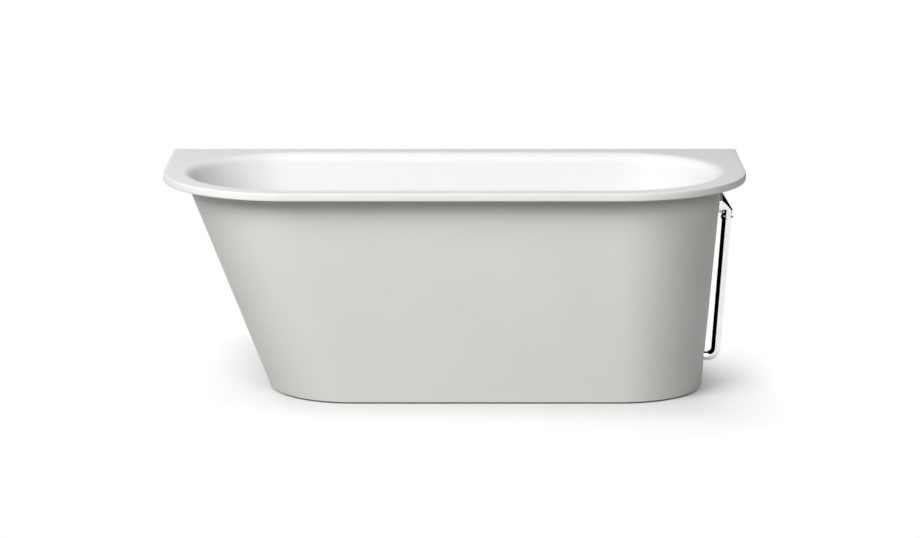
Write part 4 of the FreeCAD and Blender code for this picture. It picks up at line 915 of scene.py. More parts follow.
@dataclass(frozen=True)
class TubShell:
    """White tub and rim in one moulding.

    Columns run round the tub: each has a turn of the wall's plan and a share of the straight run. At a
    level, a column stands at centre(share) + half_width * (cos turn, sin turn). Rows run from the waste
    hole over the floor, up the wall, over the rounded lip and the rim, and down the reinforced back.
    """

    length: float = 1.700
    depth: float = 0.750
    rim_height: float = 0.625
    rim_thickness: float = 0.022
    rim_band: float = 0.050
    rim_foot_band: float = 0.058
    rim_head_band: float = 0.055
    rim_edge_radius: float = 0.003
    back_corner_radius: float = 0.004
    lip_radius: float = 0.034
    wall: float = 0.008
    floor_height: float = 0.165
    floor_radius: float = 0.080
    backrest_angle: float = 31.0
    side_angle: float = 10.0
    foot_angle: float = 5.0
    waste_x: float = 0.590
    recess_radius: float = 0.0355
    recess_depth: float = 0.003
    waste_hole_radius: float = 0.023
    spigot_hole_radius: float = 0.0165
    grid_seat_radius: float = 0.0305
    run_steps: int = 60
    corner_steps: int = 60
    square_steps: int = 30
    square_bend_steps: int = 8
    wall_steps: int = 28
    round_steps: int = 14
    floor_steps: int = 14
    floor_crowding: float = 1.6
    rim_steps: int = 4
    rim_edge_steps: int = 5
    hole_columns: int = 6
    hole_rows: int = 3
    hole_steps: int = 4
    substitutions: int = 8
    crease: float = 38.0
    overflow: OverflowAxis = OverflowAxis()

    def tan(self, angle: float) -> float:
        """Tangent of an angle in degrees."""
        return math.tan(math.radians(angle))

    def lip_run(self, angle: float) -> float:
        """Level distance from a wall's line at the rim's top to the edge of its lip."""
        return self.lip_radius * self.tan((90 - angle) / 2)

    def half_width(self, level: np.ndarray, outset: float) -> np.ndarray:
        """Half the tub's width at a level, its inner face moved out by outset."""
        top = self.depth / 2 - self.rim_band - self.lip_run(self.side_angle)
        return top - raked_run(self.rim_height - level, self.side_angle, outset)

    def head_x(self, level: np.ndarray, outset: float) -> np.ndarray:
        """Head wall at a level, moved out by outset."""
        top = -self.length / 2 + self.rim_head_band + self.lip_run(self.backrest_angle)
        return top + raked_run(self.rim_height - level, self.backrest_angle, outset)

    def foot_x(self, level: np.ndarray, outset: float) -> np.ndarray:
        """Foot wall at a level, moved out by outset."""
        top = self.length / 2 - self.rim_foot_band - self.lip_run(self.foot_angle)
        return top - raked_run(self.rim_height - level, self.foot_angle, outset)

    def square_shares(self) -> np.ndarray:
        """Spreads the columns of a square back corner along its sides and its small round.

        Returns:
            Shares of a quarter turn, one for each column.
        """
        straight = self.depth / 2 - self.back_corner_radius
        whole = 2 * straight + self.back_corner_radius * np.pi / 2
        first, last = straight / whole, 1 - straight / whole
        ends = np.linspace(0, first, self.square_steps, endpoint=False)
        bend = np.linspace(first, last, self.square_bend_steps, endpoint=False)
        return np.concatenate([ends, bend, np.linspace(last, 1, self.square_steps, endpoint=False)])

    def columns(self) -> tuple[np.ndarray, np.ndarray]:
        """Sets out the columns: front run, foot corner, back corners with the back run between, head corner.

        Returns:
            Turn of the wall in radians and share of the straight run, for each column.
        """
        run = np.linspace(0, 1, self.run_steps, endpoint=False)
        bend = np.linspace(0, 1, self.corner_steps, endpoint=False)
        square = self.square_shares()
        mirrored = np.concatenate([[0.0], 1 - square[:0:-1]])
        turns = [np.full(len(run), -1.0), bend - 1, square, np.ones(len(run)), 1 + mirrored, 2 + bend]
        runs = [
            run, np.ones(len(bend)), np.ones(len(square)), 1 - run, np.zeros(len(square)), np.zeros(len(bend))
        ]
        return np.concatenate(turns) * np.pi / 2, np.concatenate(runs)

    def wall_row(self, level: np.ndarray | float, outset: float) -> np.ndarray:
        """Row of the wall: centre(share) + half_width * (cos turn, sin turn).

        Args:
            level: One level, or one for each column.
            outset: Distance of the wall from the tub's inner face.

        Returns:
            Points, one for each column.
        """
        turn, share = self.columns()
        level = np.broadcast_to(level, turn.shape)
        half = self.half_width(level, outset)
        head = self.head_x(level, outset) + half
        foot = self.foot_x(level, outset) - half
        centre = head + share * (foot - head)
        return np.stack([centre + half * np.cos(turn), half * np.sin(turn), level], -1)

    def lean(self) -> np.ndarray:
        """Lean of the wall: the arc tangent of how fast a column moves out with its level.

        Returns:
            Outward lean at each column, in radians.
        """
        turn, share = self.columns()
        head = self.tan(self.side_angle) - self.tan(self.backrest_angle)
        foot = self.tan(self.foot_angle) - self.tan(self.side_angle)
        return np.arctan(np.cos(turn) * (head + share * (foot - head)) + self.tan(self.side_angle))

    def outward(self) -> np.ndarray:
        """Level unit vector out of the wall at each column."""
        turn, _ = self.columns()
        return np.stack([np.cos(turn), np.sin(turn), np.zeros(len(turn))], -1)

    def dipped(self, angle: np.ndarray) -> np.ndarray:
        """Unit vectors out of the wall at each column, dipped below the level by angles in radians."""
        return np.cos(angle)[..., None] * self.outward() - np.sin(angle)[..., None] * Z_AXIS

    def rim_row(self, inset: float, level: float) -> np.ndarray:
        """Rim's outline, round in front and square at the back, moved in by inset.

        Args:
            inset: Distance inside the outline.
            level: Level of the row.

        Returns:
            Points, one for each column.
        """
        turn, share = self.columns()
        half = self.depth / 2
        straight = half - self.back_corner_radius
        bend = self.back_corner_radius
        quarter = np.where(turn > np.pi / 2, np.pi - turn, turn) / (np.pi / 2)
        first = straight / (2 * straight + bend * np.pi / 2)
        angle = np.clip((quarter - first) / (1 - 2 * first), 0, 1) * np.pi / 2
        side_run = straight * np.clip(quarter / first, 0, 1)
        back_run = straight * np.clip((1 - quarter) / first, 0, 1)
        square_x = back_run + (bend - inset) * np.cos(angle)
        square_y = side_run + (bend - inset) * np.sin(angle)
        facing = np.sign(np.round(np.cos(turn), 9))
        behind = np.round(np.sin(turn), 9) > 0
        square_x = np.where(facing == 0, 0, square_x * facing)
        across = np.where(behind, square_x, (half - inset) * np.cos(turn))
        away = np.where(behind, square_y, (half - inset) * np.sin(turn))
        centre = (2 * share - 1) * (self.length / 2 - half)
        return np.stack([centre + across, away, np.full(len(turn), level)], -1)

    def floor_round(self, floor: float, outset: float, radius: float) -> np.ndarray:
        """Rows of the rounded foot of the wall, from the floor up: a ball rolled along wall and floor.

        Args:
            floor: Level of the floor.
            outset: Distance of the wall from the tub's inner face.
            radius: Radius of the ball.

        Returns:
            Points, rows by columns by 3.
        """
        lean = self.lean()
        touch = self.wall_row(floor + radius * (1 - np.sin(lean)), outset)
        centre = touch - radius * self.dipped(lean)
        angle = np.pi / 2 + (lean - np.pi / 2) * shares(self.round_steps)[:, None]
        return centre + radius * self.dipped(angle)

    def lip_round(self) -> np.ndarray:
        """Rows of the rounded lip, from the wall up to the rim's top: a ball rolled along both from outside.

        Returns:
            Points, rows by columns by 3.
        """
        lean = self.lean()
        touch = self.wall_row(self.rim_height - self.lip_radius * (1 - np.sin(lean)), 0.0)
        centre = touch + self.lip_radius * self.dipped(lean)
        angle = lean + (np.pi / 2 - lean) * shares(self.round_steps)[:, None]
        return centre - self.lip_radius * self.dipped(angle)

    def floor_rows(self, edge: np.ndarray, radius: float, steps: int) -> np.ndarray:
        """Rows of a flat floor along the spokes from a circle round the waste out to the floor's edge.

        Args:
            edge: Points of the floor's edge.
            radius: Radius of the circle.
            steps: Steps along the spokes, closer together round the waste.

        Returns:
            Points, rows by columns by 3.
        """
        away = edge - np.array([self.waste_x, 0.0, edge[0, 2]])
        reach = np.linalg.norm(away, axis=1, keepdims=True)
        start = edge - away + away / reach * radius
        return lerp(start, edge, shares(steps) ** self.floor_crowding)

    def waste_row(self, edge: np.ndarray, radius: float, level: float) -> np.ndarray:
        """Circle round the waste with a point for each column, on its spoke to the floor's edge."""
        row = self.floor_rows(edge, radius, 1)[0]
        return np.concatenate([row[:, :2], np.full((len(row), 1), level)], 1)

    def rim_rows(self) -> np.ndarray:
        """Rows over the rim's outer edge, from its top to its underside, with a small round at each.

        Returns:
            Points, rows by columns by 3.
        """
        radius = self.rim_edge_radius
        angle = arc_steps(0, 90, self.rim_edge_steps)
        underside = self.rim_height - self.rim_thickness
        inset = radius * (1 - np.sin(angle))
        drop = radius * (1 - np.cos(angle))
        upper = [self.rim_row(i, self.rim_height - d) for i, d in zip(inset, drop)]
        lower = [self.rim_row(i, underside + d) for i, d in zip(inset[::-1], drop[::-1])]
        return np.stack(upper + lower)

    def wall_spot(self, spread: np.ndarray, outset: float) -> np.ndarray:
        """Points of the foot wall at sideways and upward places about the overflow's axis.

        The level is found by repeated substitution, as the wall leans little.

        Args:
            spread: Places about the axis, n by 2.
            outset: Distance of the wall from the tub's inner face.

        Returns:
            Points, n by 3.
        """
        base = self.overflow.point(0.0)
        rise, tilt = self.overflow.upward[2], self.overflow.upward[0]
        level = base[2] + spread[:, 1]
        for _ in range(self.substitutions):
            half = self.half_width(level, outset)
            x = self.foot_x(level, outset) - half + np.sqrt(half ** 2 - spread[:, 0] ** 2)
            level = base[2] + (spread[:, 1] - (x - base[0]) * tilt) / rise
        return np.stack([x, spread[:, 0], level], -1)

    def build(self) -> None:
        """Makes the moulding, with its waste recess and its overflow hole through the foot wall."""
        underside = self.floor_height - self.wall
        recess = self.floor_height - self.recess_depth
        foot_round = self.floor_round(self.floor_height, 0.0, self.floor_radius)
        back_round = self.floor_round(underside, self.wall, self.floor_radius + self.wall)[::-1]
        lip = self.lip_round()
        rim = self.rim_rows()
        edge, back_edge = foot_round[0], back_round[-1]
        back_top = self.wall_row(self.rim_height - self.rim_thickness, self.wall)
        wall_shares, rim_shares = shares(self.wall_steps), shares(self.rim_steps)
        rows = {
            "waste_edge": self.waste_row(edge, self.waste_hole_radius, recess)[None],
            "recess": self.waste_row(edge, self.recess_radius, recess)[None],
            "floor": self.floor_rows(edge, self.recess_radius, self.floor_steps),
            "foot_round": foot_round[1:-1],
            "wall": lerp(foot_round[-1], lip[0], wall_shares),
            "lip": lip[1:-1],
            "rim_top": lerp(lip[-1], rim[0], rim_shares)[:-1],
            "rim_edge": rim,
            "rim_underside": lerp(rim[-1], back_top, rim_shares)[1:-1],
            "back_wall": lerp(back_top, back_round[0], wall_shares),
            "back_round": back_round[1:-1],
            "back_floor": self.floor_rows(back_edge, self.waste_hole_radius, self.floor_steps)[::-1],
        }
        starts = dict(zip(rows, np.cumsum([0] + [len(row) for row in rows.values()])))
        grid = np.concatenate(list(rows.values()))
        shape = Shape()
        numbers = shape.place(grid)
        middle = self.run_steps + self.corner_steps
        columns = slice(middle - self.hole_columns, middle + self.hole_columns + 1)
        inner = self.block(grid, starts["wall"], columns)
        outer = self.block(grid, starts["back_wall"], columns)
        keep = np.ones(numbers.shape, bool)
        for rows_taken in (inner, outer):
            keep[rows_taken.start:rows_taken.stop - 1, columns.start:columns.stop - 1] = False
        faced = np.arange(len(grid)) < starts["rim_underside"] - 1
        shape.net(numbers, True, True, keep, np.where(faced, Skin.FACE.value, Skin.REINFORCED.value))
        self.pierce(shape, grid, numbers, inner, outer, columns)
        piece = shape.object("tub_moulding", [ACRYLIC, FIBRE], self.crease)
        fit(piece, Body.BATH.value, ACRYLIC.slot, "bath_shell")

    def block(self, grid: np.ndarray, start: int, columns: slice) -> slice:
        """Rows of a wall that frame the overflow: a few each side of the row nearest its axis.

        Args:
            grid: All the points, rows by columns by 3.
            start: First row of the wall.
            columns: Columns of the block.

        Returns:
            The rows of the block.
        """
        wall = grid[start:start + self.wall_steps + 1, (columns.start + columns.stop) // 2]
        rise = np.abs((wall - self.overflow.point(0.0)) @ self.overflow.upward)
        nearest = start + int(np.argmin(rise))
        return slice(nearest - self.hole_rows, nearest + self.hole_rows + 1)

    def pierce(
        self, shape: Shape, grid: np.ndarray, numbers: np.ndarray, inner: slice, outer: slice, columns: slice
    ) -> None:
        """Closes the two blocks left out of the walls round the overflow's flat seat and hole.

        Args:
            shape: Shape to add to.
            grid: All the points.
            numbers: Their numbers.
            inner: Rows of the block in the inner wall.
            outer: Rows of the block in the outer wall.
            columns: Columns of both blocks.
        """
        axis = self.overflow
        inner_edge = block_edge(numbers[inner, columns])
        inner_spread = axis.spread(grid.reshape(-1, 3)[inner_edge])
        outer_edge = block_edge(numbers[outer, columns][::-1])
        outer_spread = axis.spread(grid.reshape(-1, 3)[outer_edge])
        rings = [inner_edge]
        for spread in shrink_to_circle(inner_spread, self.grid_seat_radius, self.hole_steps):
            rings.append(shape.place(self.wall_spot(spread, 0.0)))
        for radius in (self.grid_seat_radius, self.spigot_hole_radius):
            seat = shrink_to_circle(inner_spread, radius, 1)[0]
            rings.append(shape.place(axis.disc(seat, -axis.tub_depth)))
        faced = len(rings)
        outer_rings = shrink_to_circle(outer_spread, self.spigot_hole_radius, self.hole_steps)
        rings.extend(shape.place(self.wall_spot(spread, self.wall)) for spread in outer_rings[::-1])
        rings.append(outer_edge)
        skins = [Skin.FACE.value] * (faced - 1) + [Skin.REINFORCED.value] * (len(rings) - faced)
        shape.net(np.stack(rings), False, True, None, np.array(skins))


@dataclass(frozen=True)
class SkirtPanel:
    """Sage skirt round the head, front and foot, open at the wall side, with returns at its back edges.

    Every size of its plan changes evenly from base to top, so each column is a straight line.
    """

    top: float = 0.603
    base: float = 0.004
    thickness: float = 0.006
    head_top: float = -0.77288
    head_angle: float = 21.7
    foot_top: float = 0.77095
    foot_angle: float = 5.0
    front_top: float = -0.31372
    front_angle: float = 1.0
    top_radius: float = 0.285
    base_radius: float = 0.250
    back: float = 0.370
    return_width: float = 0.025
    pipe_level: float = 0.070
    hole_radius: float = 0.0165
    hole_margin: float = 0.025
    hole_rows: int = 4
    hole_columns: int = 5
    hole_steps: int = 3
    column_spacing: float = 0.005
    side_span: tuple[float, float] = (0.06, 0.34)
    side_columns: int = 8
    head_steps: int = 16
    corner_steps: int = 48
    front_steps: int = 40
    level_marks: tuple[float, float, float, float] = (0.035, 0.12, 0.48, 0.575)
    level_counts: tuple[int, int, int] = (4, 16, 3)
    edge_round: float = 0.0012
    crease: float = 30.0
    overflow: OverflowAxis = OverflowAxis()

    def head_x(self, levels: np.ndarray, outset: float) -> np.ndarray:
        """Head end at each level."""
        return self.head_top + raked_run(self.top - levels, self.head_angle, outset)

    def foot_x(self, levels: np.ndarray, outset: float) -> np.ndarray:
        """Foot end at each level."""
        return self.foot_top - raked_run(self.top - levels, self.foot_angle, outset)

    def front_y(self, levels: np.ndarray, outset: float) -> np.ndarray:
        """Front at each level."""
        return self.front_top + raked_run(self.top - levels, self.front_angle, outset)

    def radius(self, levels: np.ndarray, outset: float) -> np.ndarray:
        """Radius of the front corners at each level."""
        share = (levels - self.base) / (self.top - self.base)
        return self.base_radius + share * (self.top_radius - self.base_radius) - self.thickness + outset

    def side_places(self) -> np.ndarray:
        """Places across the bath of the foot end's columns, close together round the overflow."""
        near = np.arange(-self.hole_columns - 1, self.hole_columns + 2) * self.column_spacing
        return np.concatenate([near, np.linspace(*self.side_span, self.side_columns)])

    def face(self, levels: np.ndarray, outset: float, back: float) -> np.ndarray:
        """Points of one face from the back of the head end round to the back of the foot end.

        Each level runs along the head end, a quarter circle, the front, a quarter circle and the foot end.

        Args:
            levels: Levels of the rows.
            outset: Distance outside the inner face.
            back: Place of the face's two back edges.

        Returns:
            Points, rows by columns by 3.
        """
        z = levels[:, None]
        head, foot = self.head_x(z, outset), self.foot_x(z, outset)
        front, radius = self.front_y(z, outset), self.radius(z, outset)
        share = shares(self.head_steps)[None, :-1]
        head_side = [head + 0 * share, back + share * (front + radius - back)]
        turn = arc_steps(180, 270, self.corner_steps)[None, :-1]
        head_turn = [head + radius * (1 + np.cos(turn)), front + radius * (1 + np.sin(turn))]
        run = shares(self.front_steps)[None, :-1]
        front_run = [head + radius + run * (foot - head - 2 * radius), front + 0 * run]
        turn = arc_steps(270, 360, self.corner_steps)[None]
        foot_turn = [foot - radius * (1 - np.cos(turn)), front + radius * (1 + np.sin(turn))]
        places = np.append(self.side_places(), back)[None]
        foot_side = [foot + 0 * places, places + 0 * z]
        parts = [head_side, head_turn, front_run, foot_turn, foot_side]
        x = np.concatenate([part[0] for part in parts], 1)
        y = np.concatenate([part[1] for part in parts], 1)
        return np.stack([x, y, z + 0 * x], -1)

    def return_edge(self, levels: np.ndarray, end: End, back: float) -> np.ndarray:
        """Free edge of a return at each level, rows by 1 by 3."""
        x = (self.head_x if end is End.HEAD else self.foot_x)(levels, -self.return_width)
        return np.stack([x, np.full(len(levels), back), levels], -1)[:, None]

    def levels(self) -> np.ndarray:
        """Sets out the rows, close together round the two holes.

        Returns:
            Levels of the rows, rising.
        """
        reach, count = self.hole_margin, 2 * self.hole_rows + 1
        middles = (self.pipe_level, self.overflow.height)
        rows = [np.linspace(middle - reach, middle + reach, count) for middle in middles]
        marks = (self.base, *self.level_marks, self.top)
        for low, high, count in zip(marks[::2], marks[1::2], self.level_counts):
            rows.append(np.linspace(low, high, count))
        return np.sort(np.concatenate(rows))

    def build(self) -> None:
        """Makes the skirt: its two faces and the returns in one loop of columns, with caps and holes."""
        levels = self.levels()
        shape = Shape()
        outer = shape.place(self.face(levels, self.thickness, self.back))
        inner = shape.place(self.face(levels, 0.0, self.back - self.thickness))
        edges = {}
        for end in End:
            depths = (0.0, self.thickness)
            edges[end] = [shape.place(self.return_edge(levels, end, self.back - depth)) for depth in depths]
        loop = np.concatenate([outer, *edges[End.FOOT], inner[:, ::-1], *edges[End.HEAD][::-1]], 1)
        keep = np.ones((len(levels) - 1, loop.shape[1]), bool)
        first = outer.shape[1] - len(self.side_places())
        places = slice(first, first + 2 * self.hole_columns + 1)
        mirrored = slice(loop.shape[1] - 2 - places.stop, loop.shape[1] - 2 - places.start)
        holes = (self.pipe_level, self.overflow.height)
        blocks = [self.rows_near(levels, level) for level in holes]
        for rows in blocks:
            for columns in (places, mirrored):
                keep[rows.start:rows.stop - 1, columns.start:columns.stop - 1] = False
        shape.net(loop, False, True, keep)
        for row in (0, -1):
            shape.net(np.stack([outer[row], inner[row]]))
            for end, column in ((End.FOOT, -1), (End.HEAD, 0)):
                faces = zip((outer, inner), edges[end])
                shape.net(np.array([[face[row, column], edge[row, 0]] for face, edge in faces]))
        for level, rows in zip(holes, blocks):
            self.pierce(shape, outer[rows, places], inner[rows, places], level)
        piece = shape.object("skirt_panel", [SAGE], self.crease)
        soften(piece, self.edge_round)
        fit(piece, Body.BATH.value, SAGE.slot, "outer_skirt")

    def rows_near(self, levels: np.ndarray, middle: float) -> slice:
        """Rows of the block round a hole's level."""
        nearest = int(np.argmin(np.abs(levels - middle)))
        return slice(nearest - self.hole_rows, nearest + self.hole_rows + 1)

    def pierce(self, shape: Shape, outer: np.ndarray, inner: np.ndarray, level: float) -> None:
        """Closes a block left out of both faces round a hole.

        Args:
            shape: Shape to add to.
            outer: Point numbers of the block in the outer face.
            inner: Point numbers of the block in the inner face.
            level: Level of the hole's axis on the outer face.
        """
        points = np.concatenate(shape.points)
        slanted = level == self.overflow.height
        faces = []
        for block, outset in ((outer, self.thickness), (inner, 0.0)):
            edge = block_edge(block)
            level_spread = points[edge][:, 1:] - np.array([0.0, level])
            spread = self.overflow.spread(points[edge]) if slanted else level_spread
            rings = [edge]
            for spot in shrink_to_circle(spread, self.hole_radius, self.hole_steps):
                slanted_spot = self.overflow.disc(spot, outset - self.thickness)
                level_spot = self.on_foot_face(spot, level, outset)
                rings.append(shape.place(slanted_spot if slanted else level_spot))
            faces.append(rings)
        shape.net(np.stack(faces[0] + faces[1][::-1]), False, True)

    def on_foot_face(self, spots: np.ndarray, level: float, outset: float) -> np.ndarray:
        """Points of the foot end from their places across the bath and above a level."""
        z = level + spots[:, 1]
        return np.stack([self.foot_x(z, outset), spots[:, 0], z], -1)


@dataclass(frozen=True)
class Overflow:
    """Chrome overflow: hooded elbow, swollen collar, bent pipe, and the grid inside the tub."""

    standoff: float = 0.030
    drop: float = 0.018
    gasket: float = 0.0015
    flange_radius: float = 0.032
    flange_thickness: float = 0.008
    spigot_radius: float = 0.016
    spigot_bore: float = 0.013
    spigot_end: float = 0.01598
    pipe_radius: float = 0.014
    pipe_wall: float = 0.0015
    pipe_fit: float = 0.0001
    pipe_lean: float = 3.8
    pipe_level: float = 0.070
    pipe_end: float = 0.620
    bend_radius: float = 0.025
    socket_wall: float = 0.002
    socket_length: float = 0.016
    socket_seat: float = 0.002
    collar_length: float = 0.012
    collar_edge: float = 0.0016
    collar_bulge: float = 0.004
    olive_length: float = 0.005
    olive_width: float = 0.0016
    grid_radius: float = 0.030
    grid_thickness: float = 0.004
    grid_seal: float = 0.002
    grid_edge: float = 0.002
    grid_holes: int = 8
    grid_hole_circle: float = 0.0092
    grid_hole_radius: float = 0.0026
    screw_head_radius: float = 0.0045
    screw_head_height: float = 0.0025
    screw_head_round: float = 0.0016
    grid_ring_radius: float = 0.0150
    grid_steps: int = 12
    grid_hole_steps: int = 3
    grid_edge_steps: int = 6
    screw_radius: float = 0.002
    screw_length: float = 0.015
    screw_clearance: float = 0.0005
    drive_radius: float = 0.0018
    drive_depth: float = 0.0012
    drive_slope: float = 0.0002
    casting_edge: float = 0.0006
    casting_round: float = 0.0009
    hood_steps: int = 12
    bridge_half: float = 0.003
    bridge_depth: float = 0.009
    boss_bore: float = 0.0021
    boss_radius: float = 0.005
    boss_length: float = 0.0092
    boss_lift: float = 0.0001
    collar_chamfer: float = 0.0003
    collar_steps: int = 16
    run_steps: int = 24
    bend_steps: int = 24
    tail_steps: int = 12
    ring_count: int = 96
    pipe_count: int = 72
    small_count: int = 32
    screw_count: int = 48
    casting_crease: float = 24.0
    collar_crease: float = 28.0
    pipe_crease: float = 40.0
    grid_crease: float = 34.0
    weld_gap: float = 2e-6
    axis: OverflowAxis = OverflowAxis()

    @property
    def mouth(self) -> np.ndarray:
        """Middle of the elbow's mouth, where its pipe socket begins."""
        return self.axis.point(self.standoff, -self.drop)

    @property
    def down(self) -> np.ndarray:
        """Unit vector down along the pipe."""
        return np.cross(direction(self.pipe_lean), -Y_AXIS)

    def flange_ring(self, out: float, radius: float) -> np.ndarray:
        """Ring round the overflow's axis."""
        centre = self.axis.point(out)
        return circle(centre, self.axis.upward * radius, -Y_AXIS * radius, self.ring_count)

    def socket_ring(self, along: float, radius: float) -> np.ndarray:
        """Ring round the pipe's axis, below the elbow's mouth."""
        centre = self.mouth + self.down * along
        return circle(centre, direction(self.pipe_lean) * radius, -Y_AXIS * radius, self.ring_count)

    def build_elbow(self) -> None:
        """Makes the elbow: the hood's rows are straight between the flange's ring and the socket's ring."""
        back, front = self.gasket, self.gasket + self.flange_thickness
        inner = self.pipe_radius + self.pipe_fit
        outer = inner + self.socket_wall
        bore = self.pipe_radius - self.pipe_wall
        edge, end = self.casting_edge, self.socket_length
        flange_rows = (
            (-self.spigot_end, self.spigot_bore),
            (-self.spigot_end, self.spigot_radius),
            (back, self.spigot_radius),
            (back, self.flange_radius - edge),
            (back + edge, self.flange_radius),
        )
        socket_rows = (
            (end - edge, outer),
            (end, outer - edge),
            (end, inner),
            (self.socket_seat, inner),
            (self.socket_seat, bore),
        )
        parts = shares(self.hood_steps)
        rows = [
            np.stack([self.flange_ring(*row) for row in flange_rows]),
            lerp(self.flange_ring(front, self.flange_radius), self.socket_ring(0.0, outer), parts),
            np.stack([self.socket_ring(*row) for row in socket_rows]),
            lerp(self.socket_ring(0.0, bore), self.flange_ring(front, self.spigot_bore), parts),
        ]
        shape = Shape()
        shape.rings(np.concatenate(rows), True)
        self.add_bridge(shape)
        piece = shape.object("elbow_casting", [CHROME], self.casting_crease)
        soften(piece, self.casting_round, steps=3, angle=self.casting_crease)
        fit(piece, Body.BATH.value, CHROME.slot, "overflow_elbow")

    def add_bridge(self, shape: Shape) -> None:
        """Adds the bar across the spigot with its boss for the grid's screw.

        Args:
            shape: Shape to add to.
        """
        inner = -self.spigot_end
        half, reach = self.bridge_half, self.spigot_bore
        corners = np.array([[-reach, -half], [reach, -half], [reach, half], [-reach, half]])
        rows = np.stack([self.axis.disc(corners, inner), self.axis.disc(corners, inner + self.bridge_depth)])
        shape.cover(shape.rings(rows))
        low, high = self.boss_bore, self.boss_radius
        boss = np.array([[low, 0.0], [high, 0.0], [high, self.boss_length], [low, self.boss_length]])
        base = self.axis.point(inner - self.boss_lift)
        turned(shape, boss, base, self.axis.outward, self.small_count, True)

    def build_collar(self) -> None:
        """Makes the collar, an arc that swells between two straight edges, hollow for its ring."""
        inner = self.pipe_radius + self.pipe_fit
        edge = inner + self.socket_wall
        peak = inner + self.collar_bulge
        half = self.collar_length / 2 - self.collar_edge
        rise = peak - edge
        ball = (half ** 2 + rise ** 2) / (2 * rise)
        along = np.linspace(-half, half, self.collar_steps + 1)
        swell = peak - ball + np.sqrt(ball ** 2 - along ** 2)
        outside = np.stack([swell, along + self.collar_length / 2], -1)
        groove = inner + self.olive_width
        chamfer, end = self.collar_chamfer, self.collar_length
        profile = np.concatenate([
            [[inner, self.olive_length], [groove, self.olive_length], [groove, 0.0]],
            [[edge - chamfer, 0.0], [edge, chamfer]],
            outside,
            [[edge, end - chamfer], [edge - chamfer, end], [inner, end]],
        ])
        shape = Shape()
        base = self.mouth + self.down * self.socket_length
        turned(shape, profile, base, self.down, self.ring_count, True)
        piece = shape.object("overflow_collar_nut", [CHROME], self.collar_crease)
        fit(piece, Body.BATH.value, CHROME.slot, "overflow_collar")

    def pipe_path(self) -> tuple[np.ndarray, np.ndarray]:
        """Path of the pipe: a leaning run, one round bend and a level run.

        Returns:
            Points and unit directions along it, both n by 3.
        """
        top = self.mouth + self.down * self.socket_seat
        corner = top + self.down * (top[2] - self.pipe_level) / -self.down[2]
        inward = -X_AXIS
        bend = math.acos(float(self.down @ inward))
        run = self.bend_radius * math.tan(bend / 2)
        start = corner - self.down * run
        side = np.cross(np.cross(self.down, inward), self.down)
        side = side / np.linalg.norm(side)
        angle = np.linspace(0, bend, self.bend_steps + 1)[:, None]
        arc = start + self.bend_radius * (np.sin(angle) * self.down + (1 - np.cos(angle)) * side)
        heading = np.cos(angle) * self.down + np.sin(angle) * side
        end = np.array([self.pipe_end, 0.0, self.pipe_level])
        leaning = top + shares(self.run_steps)[:-1, None] * (start - top)
        level = arc[-1] + shares(self.tail_steps)[1:, None] * (end - arc[-1])
        down, inwards = np.tile(self.down, (self.run_steps, 1)), np.tile(inward, (self.tail_steps, 1))
        return np.concatenate([leaning, arc, level]), np.concatenate([down, heading, inwards])

    def build_pipe(self) -> None:
        """Makes the pipe: a ring carried along its path outside, and back along it inside."""
        points, headings = self.pipe_path()
        turn = full_turn(self.pipe_count)[None, :, None]
        across = np.cross(Y_AXIS, headings)[:, None]
        spokes = np.cos(turn) * across + np.sin(turn) * Y_AXIS
        outside = points[:, None] + self.pipe_radius * spokes
        inside = points[:, None] + (self.pipe_radius - self.pipe_wall) * spokes
        shape = Shape()
        shape.rings(np.concatenate([outside, inside[::-1]]), True)
        piece = shape.object("overflow_tube", [CHROME], self.pipe_crease)
        fit(piece, Body.BATH.value, CHROME.slot, "overflow_pipe")

    def grid_rings(self) -> list[np.ndarray]:
        """One sector of the grid, in its plane: rings that close in from the sector's edge to its hole.

        Returns:
            The rings, each n by 2, the hole's last.
        """
        steps, sector = self.grid_steps, 2 * np.pi / self.grid_holes
        low, high = self.screw_radius + self.screw_clearance, self.grid_ring_radius
        angle = (shares(steps)[:-1] - 0.5) * sector
        part = shares(steps)[:-1]
        arcs = np.concatenate([
            np.stack([np.full(steps, low), angle], -1),
            np.stack([low + part * (high - low), np.full(steps, sector / 2)], -1),
            np.stack([np.full(steps, high), -angle], -1),
            np.stack([high + part * (low - high), np.full(steps, -sector / 2)], -1),
        ])
        edge = arcs[:, :1] * np.stack([np.cos(arcs[:, 1]), np.sin(arcs[:, 1])], -1)
        centre = np.array([self.grid_hole_circle, 0.0])
        spots = shrink_to_circle(edge - centre, self.grid_hole_radius, self.grid_hole_steps)
        return [edge] + [centre + spot for spot in spots]

    def build_grid(self) -> None:
        """Makes the grid: equal sectors round the screw, and a ring with a rounded edge about them."""
        out = -self.axis.tub_depth - self.grid_seal
        low, limit = self.screw_radius + self.screw_clearance, self.grid_ring_radius
        top = self.grid_thickness
        rings = self.grid_rings()
        shape = Shape()
        for turn in full_turn(self.grid_holes):
            matrix = np.array([[math.cos(turn), math.sin(turn)], [-math.sin(turn), math.cos(turn)]])
            front = [self.axis.disc(ring @ matrix, out - top) for ring in rings]
            back = [self.axis.disc(ring @ matrix, out) for ring in rings[::-1]]
            shape.rings(np.stack(front + back))
        bend = arc_steps(0, 90, self.grid_edge_steps)
        inset = self.grid_edge * (1 - np.stack([np.sin(bend), np.cos(bend)], -1))
        edge = np.array([self.grid_radius, top]) - inset
        disc = np.concatenate([[[limit, top]], edge, [[self.grid_radius, 0.0], [limit, 0.0]]])
        hole = np.array([[low, 0.0], [low, top]])
        for profile in (disc, hole):
            count = self.grid_holes * self.grid_steps
            turned(shape, profile, self.axis.point(out), -self.axis.outward, count)
        piece = shape.object("overflow_rose", [CHROME], self.grid_crease)
        self.weld(piece)
        fit(piece, Body.BATH.value, CHROME.slot, "overflow_grid")

